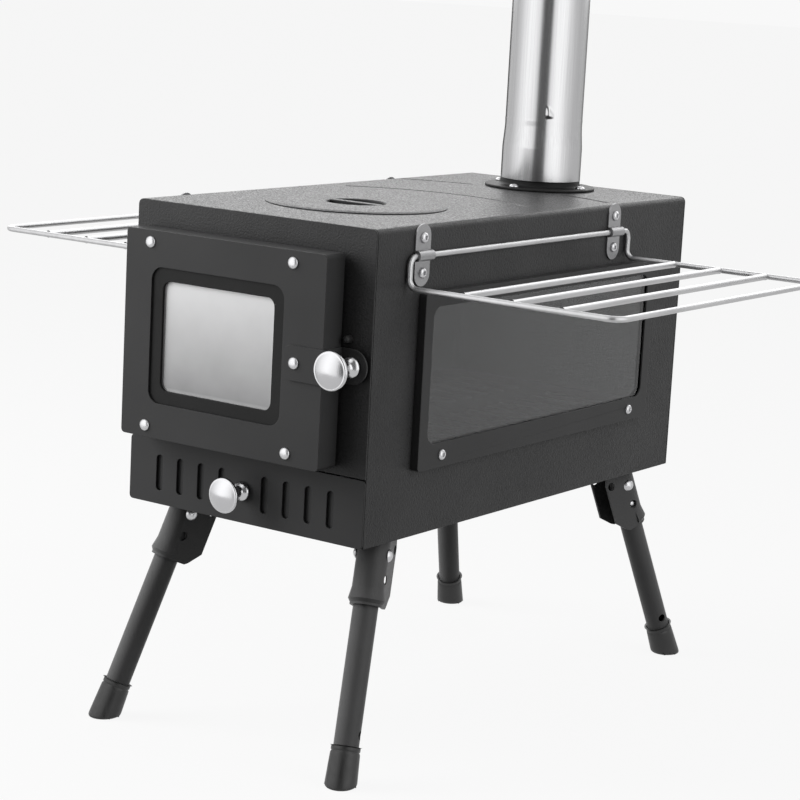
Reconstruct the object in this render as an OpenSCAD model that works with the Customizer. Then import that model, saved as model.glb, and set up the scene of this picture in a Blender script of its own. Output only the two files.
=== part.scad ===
// Tent wood stove: a folded sheet firebox with a glazed door, an ash drawer,
// glazed side windows, folding side racks, folding legs and a plug-in flue.
// Millimetres, +Z up, door at -Y, origin on the ground under the middle of the whole stove.

/* [Body] */
// Width of the firebox body
body_w = 200; // [190:1:240]
// Depth of the firebox body from front to back
body_d = 400; // [385:1:480]
// Height of the firebox body
body_h = 208; // [204:1:250]
// Thickness of the folded sheets
sheet_t = 1.5; // [1.2:0.1:2]
// Outer radius of the folded edges along the top
fold_r = 4; // [3:0.5:8]
// Height of the body's underside above the ground
floor_gap = 155; // [130:1:200]
// Depth of the folded rims inside the front and back panels
rim_depth = 10; // [6:1:12]

/* [Top] */
// Distance of the cooking lid's centre from the front
lid_y = 112; // [95:1:120]
// Radius of the cooking lid
lid_r = 63; // [50:1:66]
// Thickness of the cooking lid
lid_t = 1.5; // [1.2:0.1:3]
// Width of the top sheet's ledge that the lid rests on
lid_ledge = 4.5; // [3:0.5:8]
// Height of the locating ring under the lid
lid_ring_h = 3; // [2:0.5:6]
// Radius of the dish in the middle of the lid
dish_r = 20.5; // [14:0.5:24]
// Depth of the dish below the lid
dish_depth = 7; // [4:0.5:10]
// Width of the lifting bar across the dish
lift_bar_w = 6; // [4:0.5:10]
// Depth of the pressed arcs in the top sheet
groove_depth = 0.7; // [0.4:0.1:0.9]
// Radius of the pressing tool's nose
groove_nose_r = 3; // [2:0.5:4]

/* [Flue] */
// Distance of the flue's axis from the back
flue_in = 51; // [46:1:70]
// Outer radius of the flue pipe's plain upper end
pipe_r = 29.4; // [27:0.1:31]
// Wall of the flue pipe
pipe_wall = 0.8; // [0.6:0.1:1.2]
// Length of the flue pipe section
pipe_len = 330; // [200:1:400]
// Length of the pipe's straight socket
socket_len = 26; // [20:1:40]
// Length of the taper above the socket
taper_len = 16; // [8:1:30]
// Height of the pressed bead above the taper
bead_h = 4; // [2:0.5:8]
// How far the bead stands out
bead_proud = 0.8; // [0.4:0.1:1.5]
// Sliding gap between the socket and the spigot
socket_gap = 0.3; // [0.2:0.05:0.6]
// Radius of the collar's flange plate
flange_r = 42; // [40:1:45]
// Thickness of the collar's flange plate
flange_t = 2; // [1.5:0.1:3]
// Height of the collar's seat above the top sheet
seat_h = 7; // [5:0.5:10]
// Wall of the collar's spigot
spigot_wall = 1.2; // [1:0.1:2]
// How far the spigot reaches into the firebox
spigot_drop = 6; // [3:0.5:10]

/* [Door] */
// Distance of the door pan from the body's right side
door_right = 22; // [20:0.5:28]
// Distance of the door pan below the top
door_drop = 17; // [12:0.5:22]
// Depth of the door pan
door_depth = 19; // [18:0.5:24]
// Gap between the door pan's rear edge and the body's front
door_gap = 3; // [2.5:0.1:4]
// Distance of the door pan from the body's left side
door_left = 10; // [8:0.5:12]
// Distance of the door pan above the drawer's front
door_rise = 5.5; // [4:0.5:8]
// Radius of the door pan's corners
door_corner_r = 3; // [2:0.5:5]
// Distance of the pressed window border from the door's side edges
border_side_in = 28; // [27:0.5:34]
// Distance of the pressed window border from the door's upper and lower edges
border_end_in = 24; // [23:0.5:30]
// Width of the border's band round the glass
border_band = 9; // [7:0.5:12]
// Outer corner radius of the border
border_r = 9; // [8:0.5:12]
// How far the window sits towards the hinge from the door's middle
window_shift = 5; // [0:0.5:6]
// How far the rivets sit towards the hinge from the door's middle
rivet_shift = 3; // [0:0.5:4]
// Thickness of the door's window border
border_t = 2; // [1.5:0.1:2.5]
// Thickness of the stove glass
glass_t = 3; // [2.5:0.1:4]
// How far the glass reaches under its frames
glass_lap = 3; // [2.5:0.1:3.5]
// Width of the rope gasket beside the door glass
gasket_w = 4; // [3:0.5:5]
// Distance of the door rivets from the door's side edges
rivet_side_in = 24; // [22:0.5:26]
// Distance of the door rivets from the door's upper and lower edges
rivet_end_in = 8; // [6.5:0.5:9.5]
// Radius of the domed rivet heads
rivet_head_r = 4; // [3:0.1:5]
// Height of the domed rivet heads
rivet_head_h = 2; // [1.5:0.1:3]
// Radius of the rivet shanks
rivet_r = 2; // [1.5:0.1:2.5]

/* [Hinge] */
// Distance of the hinge axis from the door's left edge
hinge_in = 6.5; // [6:0.1:7.5]
// Distance of the hinge axis in front of the door's rear edge
hinge_back = 10; // [9.5:0.1:11]
// Distance of the hinge lugs from the door's ends
hinge_end = 15; // [12:0.5:20]
// Radius of the hinge pins
pin_r = 2; // [1.5:0.1:2.2]
// Radius of the hinge lugs round the pins
lug_r = 4; // [3.6:0.1:4.2]
// Thickness of each hinge lug and ear
lug_t = 2.5; // [2:0.1:3]

/* [Latch] */
// Distance of the latch's axis below the door's middle
latch_drop = 2; // [0:0.5:9]
// Height of the latch strap
strap_h = 23; // [20:0.5:26]
// Thickness of the latch strap
strap_t = 1.5; // [1.2:0.1:2]
// Length of the strap on the door's front
strap_len = 32; // [28:0.5:38]
// Distance of the latch rivet from the strap's left end
strap_rivet_in = 8.5; // [7:0.5:12]
// Radius of the latch spindle
spindle_r = 2.2; // [2:0.1:2.4]
// Length of the cam on the spindle's inner end
cam_len = 14; // [12:0.5:16]
// Thickness of the cam
cam_t = 2; // [1.5:0.1:3]
// Radius of the latch knob's head
knob_r = 13; // [11:0.5:15]
// Length of the latch knob
knob_len = 27; // [27:0.5:32]
// Radius of the stop stud above the strap
stud_r = 2.5; // [2:0.1:3]
// How far the stop stud stands out of the front
stud_len = 6; // [5:0.5:8]

/* [Drawer] */
// Height of the drawer's front
drawer_h = 45.5; // [42:0.5:50]
// Gap between the drawer's front and the panel above it
drawer_gap = 0.8; // [0.5:0.1:1.5]
// Room behind the ash tray
tray_back = 70; // [30:1:120]
// Height of the ash tray's walls
tray_h = 36; // [34:0.5:38]
// Thickness of the ash tray's sheet
tray_t = 1; // [0.8:0.1:1.5]
// Pitch of the air slots
slot_pitch = 18.3; // [16:0.1:19]
// Width of the air slots
slot_w = 6; // [5:0.1:8]
// Height of the air slots
slot_h = 25; // [18:0.5:28]
// Height of the drawer knob's axis
drawer_knob_z = 22; // [20:0.5:24]
// Radius of the drawer knob's head
drawer_knob_r = 12; // [10:0.5:14]
// Length of the drawer knob
drawer_knob_len = 24; // [20:0.5:28]

/* [Side windows] */
// Distance of the side window frames from the front and the back
frame_in = 50; // [45:1:70]
// Distance of the side window frames below the top
frame_drop = 44; // [42:0.5:50]
// Height of the frames above the body's underside
frame_z = 45; // [40:0.5:45.5]
// How far the frames stand out of the sides
frame_proud = 6; // [5.8:0.1:8]
// Corner radius of the frames
frame_r = 3; // [2:0.5:6]
// Width of the frame's upper and side bands
frame_band = 10; // [9.8:0.1:11]
// Width of the frame's lower band
frame_low_band = 17; // [14:0.5:22]
// Corner radius of the side openings
opening_r = 8; // [6:0.5:14]
// Distance of the frame's screws from its ends
screw_in = 27; // [25:0.5:45]
// Radius of the screw heads
screw_head_r = 3.6; // [3:0.1:4]
// Height of the screw heads
screw_head_h = 2.2; // [1.8:0.1:3]
// Radius of the screw shanks
screw_r = 1.75; // [1.5:0.05:2]

/* [Racks] */
// Radius of the rack wire
wire_r = 2; // [1.5:0.1:2.2]
// Radius of the rack's cross bars
bar_r = 2.3; // [1.8:0.1:2.6]
// Distance of the rack's pivot below the top
rack_drop = 19.5; // [19:0.5:19.5]
// How far the rack hangs below its pivot
crank_drop = 20.5; // [18:0.5:21]
// Distance of the rack's outer bar from the body's side
rack_reach = 159; // [130:1:180]
// Distance of the rack's ends from half the body's depth
rack_in = 61.5; // [50:0.5:63]
// Distance of the rack's middle in front of the body's middle
rack_forward = 27; // [25:0.5:40]
// Pitch of the rack's cross bars
bar_pitch = 37; // [30:0.5:39]
// Distance of the first cross bar from the body's side
first_bar = 43; // [30:0.5:45]
// Distance of the clips' middle in front of the body's middle
clip_forward = 29; // [27:0.5:33]
// Distance of the clips from the rack's ends
clip_in = 17; // [16.5:0.5:28]
// Width of the clips
clip_w = 17; // [14:0.5:20]
// Height of the clips
clip_h = 41; // [38:0.5:41]
// Thickness of the clips
clip_t = 1.5; // [1.2:0.1:2]
// Half the distance between a clip's screws
clip_screw_half = 11.5; // [10:0.5:13]

/* [Legs] */
// Lean of each leg away from upright, in degrees
leg_lean = 22; // [18:1:24]
// Turn of each leg's fold plane away from straight back, in degrees
leg_turn = 22; // [18:1:26]
// Distance of the leg pivots below the body
pivot_drop = 12.5; // [12.5:0.1:15]
// Distance of the leg pivots in from the sides
pivot_in_x = 18; // [17:0.5:24]
// Distance of the leg pivots in from the ends
pivot_in_y = 38.5; // [34:0.5:50]
// Radius of the leg tubes
tube_r = 8.5; // [8:0.1:8.7]
// Wall of the leg tubes
tube_wall = 1.2; // [1:0.1:1.4]
// Thickness of the leg brackets' sheet
bracket_t = 2; // [1.8:0.1:2.4]
// Length of a bracket below its pivot
bracket_len = 35; // [32:0.5:40]
// Reach of the bracket's cheeks from the leg's axis
cheek_reach = 19.5; // [19:0.5:22]
// How far the rolled bead at the bracket's lower end stands out
lip_proud = 1.5; // [0.5:0.1:2]
// Distance of the lock ball from the pivot
lock_r = 16.5; // [16:0.1:17.5]
// Radius of the lock ball
ball_r = 3; // [2.6:0.1:3.2]
// Length of the foot caps along the leg
foot_len = 26; // [20:0.5:34]
// Upper radius of the foot caps
foot_top_r = 9.8; // [9.6:0.1:10.2]
// Lower radius of the foot caps
foot_low_r = 10.8; // [10.4:0.1:11.2]

/* [Hidden] */
$fn = 72;

// One overrun for every cut, and the common clearances
cut = 1;
seam_gap = 0.2;
run_gap = 0.05;
move_gap = 0.3;

// Colours
black_steel = "#2c2c2d";
dark_trim = "#1c1c1d";
stainless = "#b9bbbd";
polished = "#dcdddf";
stove_glass = "#55585c";
grey_rope = "#6d6b68";
foot_black = "#232324";

// Body
half_w = body_w / 2;
half_d = body_d / 2;
inner_w = body_w - 2 * sheet_t;
shell_front = sheet_t + seam_gap;
shell_back = body_d - shell_front;
panel_z = drawer_h + drawer_gap;
rim_fit = 0.1;

// Door
door_w = body_w - door_left - door_right;
door_x = -half_w + door_left;
door_mid_x = door_x + door_w / 2;
door_z = drawer_h + door_rise;
door_h = body_h - door_drop - door_z;
border_w = door_w - 2 * border_side_in;
border_h = door_h - 2 * border_end_in;
rivet_half_w = door_w / 2 - rivet_side_in;
rivet_half_h = door_h / 2 - rivet_end_in;
door_mid_z = door_z + door_h / 2;
door_front = -(door_gap + door_depth);
window_x = door_mid_x - window_shift;
rivet_x = door_mid_x - rivet_shift;
view_w = border_w - 2 * border_band;
view_h = border_h - 2 * border_band;
view_r = border_r - border_band / 3;
border_front = door_front + sheet_t;
glass_front = border_front + border_t;
retainer_front = glass_front + glass_t;
retainer_edge = 7;
mouth_side_in = 18;
mouth_end_in = 12;
mouth_w = door_w - 2 * mouth_side_in;
mouth_h = door_h - 2 * mouth_end_in;

// Hinge
hinge_x = door_x + hinge_in;
hinge_y = -(door_gap + hinge_back);
lug_zs = [door_z + hinge_end, door_z + door_h - hinge_end - 2 * lug_t - move_gap];
pin_head_lip = 1.2;
pin_head_r = pin_r + pin_head_lip;
pin_head_h = 1.5;
lug_pad_lip = 2;
lug_pad_w = 2 * (lug_r + lug_pad_lip);
lug_pad_h = 16;
door_open_angle = 110;
notch_depth = hinge_back + lug_r / sin(door_open_angle)
    - hinge_in / tan(door_open_angle) + move_gap;

// Latch
strap_end_r = strap_h / 2;
latch_x = half_w - strap_end_r;
latch_z = door_mid_z - latch_drop;
strap_y = -door_gap;
strap_x = door_x + door_w;
cam_side_gap = 0.9;
cam_end_gap = 1.25;
cam_slot_w = 2 * (spindle_r + cam_side_gap);
cam_slot_h = cam_len + 2 * cam_end_gap;
latch_nut_r = 4.5;
latch_nut_t = 1.2;
knob_bore_share = 0.4;
stud_in = 6;
stud_rise = 3;
stud_x = latch_x - stud_in;
stud_z = latch_z + strap_h / 2 + stud_r + stud_rise;

// Drawer
tray_d = body_d - tray_back;
tray_lift = 0.3;
tray_side = 0.6;
tray_recess = screw_head_h + move_gap;
pan_rim_h = 10;
runner_shelf = 10;
grate_z = drawer_h + sheet_t;
grate_t = 2;
grate_slot_w = 6;
grate_bridge = 26;
grate_pitch = 22;

// Knob outline as shares of its head radius and of its length, from the base to the front
knob_outline_shares = [
    [0, 0], [0.54, 0], [0.54, 0.05], [0.47, 0.1], [0.33, 0.13], [0.27, 0.22], [0.27, 0.5],
    [0.36, 0.63], [0.62, 0.71], [0.9, 0.76], [1, 0.81], [1, 0.86], [0.94, 0.9],
    [0.72, 0.95], [0.4, 0.98], [0, 1]
];

// Side windows
frame_w = body_d - 2 * frame_in;
frame_h = body_h - frame_drop - frame_z;
screw_half_d = frame_w / 2 - screw_in;
opening_w = frame_w - 2 * frame_band;
opening_h = frame_h - frame_band - frame_low_band;
opening_z = frame_z + frame_low_band + opening_h / 2;
gasket_t = frame_proud - sheet_t - glass_t;
opening_rim = 0.8;
low_screw_z = frame_z + frame_low_band / 2;

// Racks
rack_half = half_d - rack_in;
rack_y = half_d - rack_forward;
clip_y = half_d - clip_forward;
clip_half = rack_half - clip_in;
rod_x = half_w + wire_r + move_gap;
rod_z = body_h - rack_drop;
rack_z = rod_z - crank_drop;
saddle_gap = 0.1;
crank_bend = 6;
corner_bend = 9;
bar_count = 3;

// Flue
flue_y = body_d - flue_in;
spigot_r = pipe_r;
socket_bore = spigot_r + socket_gap;
socket_r = socket_bore + pipe_wall;
pipe_z = body_h + seat_h + seam_gap;
flange_screw_r = (flange_r + socket_r) / 2;

// Lid
lid_ring_r = lid_r - lid_ledge;
near_arc_r = 2 * lid_r;
far_arc_back = 29;
far_arc_r = flue_y - lid_y - far_arc_back;
near_arc_right_in = 28;
near_arc_left_in = 18.8;
far_arc_right_in = 9;
far_arc_left_in = 5.6;
near_arc_start = acos((half_w - near_arc_right_in) / near_arc_r);
near_arc_end = 180 - acos((half_w - near_arc_left_in) / near_arc_r);
far_arc_start = acos((half_w - far_arc_right_in) / far_arc_r);
far_arc_end = 180 - acos((half_w - far_arc_left_in) / far_arc_r);
far_arc_break = [84, 101];

// Start and end angles of each pressed arc round the lid, with its radius
pressed_arcs = [
    [near_arc_r, near_arc_start, near_arc_end],
    [far_arc_r, far_arc_start, far_arc_break[0]],
    [far_arc_r, far_arc_break[1], far_arc_end]
];

// Legs, in a frame with the pivot at its origin, X to the outer cheek and Y outwards
leg_len = (floor_gap - pivot_drop) / cos(leg_lean);
leg_gap = 0.5;
channel_r = tube_r + leg_gap;
bracket_r = channel_r + bracket_t;
web_half_w = channel_r + bracket_t / 2;
lip_h = 4;
cheek_margin = 1.5;
ball_gap = 0.2;
lock_hole_r = ball_r + ball_gap;
track_floor = 0.8;
track_depth = bracket_t - track_floor;
track_half_w = lock_hole_r - 2 * move_gap;
ball_proud = 0.9;
spring_w = 4;
spring_t = 0.6;
spring_len = 26;
spring_gap = 9;
pivot_r = 2.5;
pivot_head_r = 4.5;
pivot_head_h = 2.5;
bracket_rivet_head_r = 3;
bracket_rivet_head_h = 1.2;
bracket_rivet_in = 9.5;
bracket_rivet_pitch = 7.5;
bracket_rivet_ys = [-bracket_rivet_in - bracket_rivet_pitch, -bracket_rivet_in];
drain_hole_r = 3;
drain_rise = 8;
foot_wall_end = 4;
tube_end = leg_len - foot_wall_end;
fold_angle = 90 + leg_lean;

// The whole stove is centred between the latch knob and the rear feet
front_reach = -(door_gap + strap_t + seam_gap + knob_len);
foot_half_y = sqrt(pow(foot_low_r / cos(leg_lean) * cos(leg_turn), 2) + pow(foot_low_r * sin(leg_turn), 2));
rear_reach = body_d - pivot_in_y + leg_len * sin(leg_lean) * cos(leg_turn) + foot_half_y;
stove_y = -(front_reach + rear_reach) / 2;

// Places the stove's frame, which is at the middle of the front's lower edge, on the ground
module placed() {
    translate([0, stove_y, floor_gap]) children();
}

// Extrudes an outline drawn as (x, z) from y0 to y1
module along_y(y0, y1) {
    translate([0, y1, 0]) rotate([90, 0, 0]) linear_extrude(y1 - y0) children();
}

// Extrudes an outline drawn as (y, z) from x0 to x1
module along_x(x0, x1) {
    translate([x0, 0, 0]) rotate([90, 0, 90]) linear_extrude(x1 - x0) children();
}

// Extrudes an outline drawn as (x, y) from z0 to z1
module along_z(z0, z1) {
    translate([0, 0, z0]) linear_extrude(z1 - z0) children();
}

// Rectangle with round corners, centred
module rounded_rect(w, h, r) {
    square([w, h - 2 * r], center = true);
    square([w - 2 * r, h], center = true);
    for (sx = [-1, 1], sy = [-1, 1])
        translate([sx * (w / 2 - r), sy * (h / 2 - r)]) circle(r);
}

// Outline of the body's section, with round upper corners, from z0 up
module body_outline(w, z0, top, r) {
    translate([-w / 2, z0]) square([w, top - z0 - r]);
    translate([-w / 2 + r, z0]) square([w - 2 * r, top - z0]);
    for (s = [-1, 1]) translate([s * (w / 2 - r), top - r]) circle(r);
}

// Slot with round ends, centred, long side along the first axis
module slot(length, width) {
    square([length - width, width], center = true);
    for (s = [-1, 1]) translate([s * (length - width) / 2, 0]) circle(width / 2);
}

// Copies its children on the left or the right side
module on_side(side) {
    mirror([side < 0 ? 1 : 0, 0, 0]) children();
}

// Dome with a flat base on the plane z = 0
module dome(r, h) {
    ball = (r * r + h * h) / (2 * h);
    intersection() {
        translate([0, 0, h - ball]) sphere(ball);
        cylinder(r = r, h = h);
    }
}

// Outline of a side frame's opening, grown by a margin
module opening_outline(grow) {
    translate([half_d, opening_z])
        rounded_rect(opening_w + 2 * grow, opening_h + 2 * grow, opening_r + grow);
}

module side_screw_places() {
    for (s = [-1, 1])
        translate([half_w, half_d + s * screw_half_d, low_screw_z]) rotate([0, 90, 0]) children();
}

module clip_screw_places() {
    for (s = [-1, 1], t = [-1, 1])
        translate([half_w, clip_y + s * clip_half, rod_z + t * clip_screw_half])
            rotate([0, 90, 0]) children();
}

module flange_screw_places() {
    for (a = [0 : 90 : 270])
        translate([0, flue_y, body_h]) rotate([0, 0, a]) translate([flange_screw_r, 0, 0]) children();
}

module body_shell() placed() color(black_steel) difference() {
    along_y(shell_front, shell_back) difference() {
        body_outline(body_w, 0, body_h, fold_r);
        body_outline(inner_w, -cut, body_h - sheet_t, fold_r - sheet_t);
    }
    translate([0, lid_y, body_h - sheet_t - cut])
        cylinder(r = lid_ring_r + move_gap, h = sheet_t + 2 * cut);
    translate([0, flue_y, body_h - sheet_t - cut]) cylinder(r = spigot_r, h = sheet_t + 2 * cut);
    for (arc = pressed_arcs)
        translate([0, lid_y, body_h + groove_nose_r - groove_depth]) rotate([0, 0, arc[1]])
            rotate_extrude(angle = arc[2] - arc[1]) translate([arc[0], 0]) circle(groove_nose_r);
    flange_screw_places() translate([0, 0, -sheet_t - cut]) cylinder(r = screw_r, h = sheet_t + 2 * cut);
    for (side = [-1, 1]) on_side(side) {
        along_x(half_w - sheet_t - cut, half_w + cut) opening_outline(opening_rim);
        side_screw_places() translate([0, 0, -sheet_t - cut]) cylinder(r = screw_r, h = sheet_t + 2 * cut);
        clip_screw_places() translate([0, 0, -sheet_t - cut]) cylinder(r = screw_r, h = sheet_t + 2 * cut);
    }
}

// Folded rim that stands inside the shell behind a front or back panel
module panel_rim(y0, y1, z0) {
    along_y(y0, y1) difference() {
        body_outline(inner_w - 2 * rim_fit, z0, body_h - sheet_t - rim_fit, fold_r - sheet_t);
        body_outline(inner_w - 2 * (rim_fit + sheet_t), z0 - cut, body_h - 2 * sheet_t - rim_fit,
            (fold_r - sheet_t) / 2);
    }
}

module front_panel() placed() color(black_steel) difference() {
    union() {
        along_y(0, sheet_t) body_outline(body_w, panel_z, body_h, fold_r);
        panel_rim(sheet_t, sheet_t + rim_depth, panel_z);
    }
    along_y(-cut, sheet_t + cut) translate([window_x, door_mid_z]) rounded_rect(mouth_w, mouth_h, opening_r);
    for (z = lug_zs)
        translate([hinge_x - lug_r, -cut, z]) cube([2 * lug_r, sheet_t + 2 * cut, lug_t]);
    along_y(-cut, sheet_t + cut) translate([latch_x, latch_z]) rotate(90) slot(cam_slot_h, cam_slot_w);
    along_y(-cut, sheet_t + cut) translate([stud_x, stud_z]) circle(stud_r);
}

module back_panel() placed() color(black_steel) union() {
    along_y(body_d - sheet_t, body_d) body_outline(body_w, 0, body_h, fold_r);
    panel_rim(body_d - sheet_t - rim_depth, body_d - sheet_t, pan_rim_h + move_gap);
}

module base_pan() placed() color(black_steel) difference() {
    along_y(shell_front, shell_back) {
        translate([-inner_w / 2, 0]) square([inner_w, sheet_t]);
        for (s = [-1, 1])
            translate([s * (inner_w - sheet_t) / 2 - sheet_t / 2, 0]) square([sheet_t, pan_rim_h]);
    }
    for (leg = [[-1, -1], [1, -1], [-1, 1], [1, 1]]) leg_frame(leg[0], leg[1])
        bracket_rivet_places() translate([0, 0, pivot_drop - cut])
            cylinder(r = screw_r, h = sheet_t + 2 * cut);
}

module drawer_runners() placed() color(black_steel) {
    for (side = [-1, 1]) on_side(side)
        along_y(shell_front + rim_depth + sheet_t, shell_back - rim_depth - sheet_t) {
            translate([inner_w / 2 - sheet_t, pan_rim_h + move_gap])
                square([sheet_t, drawer_h - pan_rim_h - move_gap + sheet_t]);
            translate([inner_w / 2 - runner_shelf, drawer_h]) square([runner_shelf, sheet_t]);
        }
}

module fire_grate() placed() color(black_steel) {
    grate_w = inner_w - 2 * move_gap;
    grate_front = shell_front + rim_depth + sheet_t;
    grate_len = shell_back - rim_depth - sheet_t - grate_front;
    rows = floor(grate_len / grate_pitch) - 1;
    first_row = grate_front + (grate_len - (rows - 1) * grate_pitch) / 2;
    grate_slot_len = grate_w / 2 - grate_bridge;
    along_z(grate_z, grate_z + grate_t) difference() {
        translate([-grate_w / 2, grate_front]) square([grate_w, grate_len]);
        for (s = [-1, 1], row = [0 : rows - 1])
            translate([s * grate_w / 4, first_row + row * grate_pitch]) slot(grate_slot_len, grate_slot_w);
    }
}

module side_frame(side) placed() color(black_steel) on_side(side) difference() {
    along_x(half_w, half_w + frame_proud)
        translate([half_d, frame_z + frame_h / 2]) rounded_rect(frame_w, frame_h, frame_r);
    along_x(half_w - cut, half_w + frame_proud - sheet_t)
        translate([half_d, frame_z + frame_h / 2])
            rounded_rect(frame_w - 2 * sheet_t, frame_h - 2 * sheet_t, frame_r - sheet_t);
    along_x(half_w, half_w + frame_proud + cut) opening_outline(0);
    side_screw_places() cylinder(r = screw_r, h = frame_proud + cut);
}

module side_glass(side) placed() color(stove_glass, 0.7) on_side(side)
    along_x(half_w + gasket_t, half_w + gasket_t + glass_t) opening_outline(glass_lap);

module side_gasket(side) placed() color(grey_rope) on_side(side)
    along_x(half_w, half_w + gasket_t) difference() {
        opening_outline(glass_lap);
        opening_outline(opening_rim);
    }

// Pan head screw with a hexagon socket, its head on the plane z = 0
module socket_screw(reach) {
    difference() {
        union() {
            dome(screw_head_r, screw_head_h);
            translate([0, 0, -reach]) cylinder(r = screw_r, h = reach);
        }
        translate([0, 0, screw_head_h / 2]) cylinder(r = screw_r, h = screw_head_h, $fn = 6);
    }
}

module side_frame_screws() placed() color(polished)
    for (side = [-1, 1]) on_side(side) side_screw_places()
        translate([0, 0, frame_proud]) socket_screw(frame_proud + 2 * sheet_t);

module cooking_lid() placed() color(black_steel) translate([0, lid_y, body_h])
    rotate_extrude() polygon([
        [0, -dish_depth], [dish_r + sheet_t, -dish_depth], [dish_r + sheet_t, 0],
        [lid_ring_r - sheet_t, 0], [lid_ring_r - sheet_t, -lid_ring_h], [lid_ring_r, -lid_ring_h],
        [lid_ring_r, 0], [lid_r, 0], [lid_r, lid_t], [dish_r, lid_t],
        [dish_r, sheet_t - dish_depth], [0, sheet_t - dish_depth]
    ]);

module lid_lift_bar() placed() color(black_steel) translate([0, lid_y, body_h]) intersection() {
    cylinder(r = dish_r, h = lid_t);
    translate([-dish_r, -lift_bar_w / 2, 0]) cube([2 * dish_r, lift_bar_w, lid_t]);
}

module flue_collar() placed() color(dark_trim) translate([0, flue_y, body_h]) difference() {
    rotate_extrude() polygon([
        [spigot_r - spigot_wall, -spigot_drop], [spigot_r, -spigot_drop], [spigot_r, 0],
        [flange_r, 0], [flange_r, flange_t], [socket_r, flange_t], [socket_r, seat_h],
        [spigot_r, seat_h], [spigot_r, seat_h + socket_len], [spigot_r - spigot_wall, seat_h + socket_len]
    ]);
    for (a = [0 : 90 : 270]) rotate([0, 0, a]) translate([flange_screw_r, 0, -cut])
        cylinder(r = screw_r, h = flange_t + 2 * cut);
}

module flue_screws() placed() color(polished)
    flange_screw_places() translate([0, 0, flange_t]) socket_screw(flange_t + 2 * sheet_t);

// Half section of the pipe's wall: the radius of its outer face at each height
pipe_rings = [
    [0, socket_r], [socket_len, socket_r], [socket_len + taper_len, pipe_r],
    [socket_len + taper_len + bead_h / 4, pipe_r],
    [socket_len + taper_len + bead_h / 2, pipe_r + bead_proud],
    [socket_len + taper_len + bead_h, pipe_r], [pipe_len, pipe_r]
];

module flue_pipe() placed() color(stainless) translate([0, flue_y, pipe_z])
    rotate_extrude() polygon(concat(
        [for (ring = pipe_rings) [ring[1], ring[0]]],
        [for (i = [len(pipe_rings) - 1 : -1 : 0]) [pipe_rings[i][1] - pipe_wall, pipe_rings[i][0]]]
    ));

// Straight wires along each axis, and a quarter bend in the XY plane from +X to +Y
module wire_x(length) { rotate([0, 90, 0]) cylinder(r = wire_r, h = length); }
module wire_y(length, r = wire_r) { rotate([-90, 0, 0]) cylinder(r = r, h = length); }
module wire_z(length) { cylinder(r = wire_r, h = length); }
module quarter_bend(r) { rotate_extrude(angle = 90) translate([r, 0]) circle(wire_r); }

// Half of a rack, from its middle to the end at +Y
module rack_half_wire() {
    arm_y = rack_half;
    outer_x = half_w + rack_reach;
    translate([rod_x, 0, rod_z]) wire_y(arm_y - crank_bend);
    translate([rod_x, arm_y - crank_bend, rod_z - crank_bend]) rotate([90, 0, 90]) quarter_bend(crank_bend);
    translate([rod_x, arm_y, rack_z + crank_bend]) wire_z(crank_drop - 2 * crank_bend);
    translate([rod_x + crank_bend, arm_y, rack_z + crank_bend])
        rotate([90, 0, 0]) rotate([0, 0, 180]) quarter_bend(crank_bend);
    translate([rod_x + crank_bend, arm_y, rack_z]) wire_x(outer_x - corner_bend - rod_x - crank_bend);
    translate([outer_x - corner_bend, arm_y - corner_bend, rack_z]) quarter_bend(corner_bend);
    translate([outer_x, 0, rack_z]) wire_y(arm_y - corner_bend);
    for (i = [0 : bar_count - 1])
        translate([half_w + first_bar + i * bar_pitch, 0, rack_z]) wire_y(arm_y, bar_r);
}

module rack(side) placed() color(stainless) on_side(side) translate([0, rack_y, 0])
    for (s = [-1, 1]) mirror([0, s < 0 ? 1 : 0, 0]) rack_half_wire();

// Section of a clip as (x, z), a plate with a saddle over the rack's pivot
module clip_section() {
    saddle_r = wire_r + saddle_gap + clip_t;
    difference() {
        union() {
            translate([half_w, rod_z - clip_h / 2]) square([clip_t, clip_h]);
            translate([rod_x, rod_z]) circle(saddle_r);
            translate([half_w, rod_z - saddle_r]) square([rod_x - half_w, 2 * saddle_r]);
        }
        translate([rod_x, rod_z]) circle(wire_r + saddle_gap);
        translate([half_w - cut, rod_z - wire_r - saddle_gap])
            square([rod_x - half_w + cut, 2 * (wire_r + saddle_gap)]);
        translate([half_w - 2 * saddle_r, rod_z - saddle_r]) square([2 * saddle_r, 2 * saddle_r]);
    }
}

module rack_clips() placed() color(stainless)
    for (side = [-1, 1], s = [-1, 1]) on_side(side) difference() {
        intersection() {
            along_y(clip_y + s * clip_half - clip_w / 2, clip_y + s * clip_half + clip_w / 2) clip_section();
            along_x(half_w, rod_x + 2 * clip_w)
                translate([clip_y + s * clip_half, rod_z]) rotate(90) slot(clip_h, clip_w);
        }
        clip_screw_places() translate([0, 0, -cut]) cylinder(r = screw_r, h = clip_t + 2 * cut);
    }

module rack_clip_screws() placed() color(polished)
    for (side = [-1, 1]) on_side(side) clip_screw_places()
        translate([0, 0, clip_t]) socket_screw(clip_t + 2 * sheet_t);

module door_rivet_places() {
    for (sx = [-1, 1], sz = [-1, 1])
        translate([rivet_x + sx * rivet_half_w, door_front, door_mid_z + sz * rivet_half_h])
            rotate([90, 0, 0]) children();
}

module latch_rivet_place() {
    translate([strap_x + strap_t - strap_len + strap_rivet_in, door_front, latch_z])
        rotate([90, 0, 0]) children();
}

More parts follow.
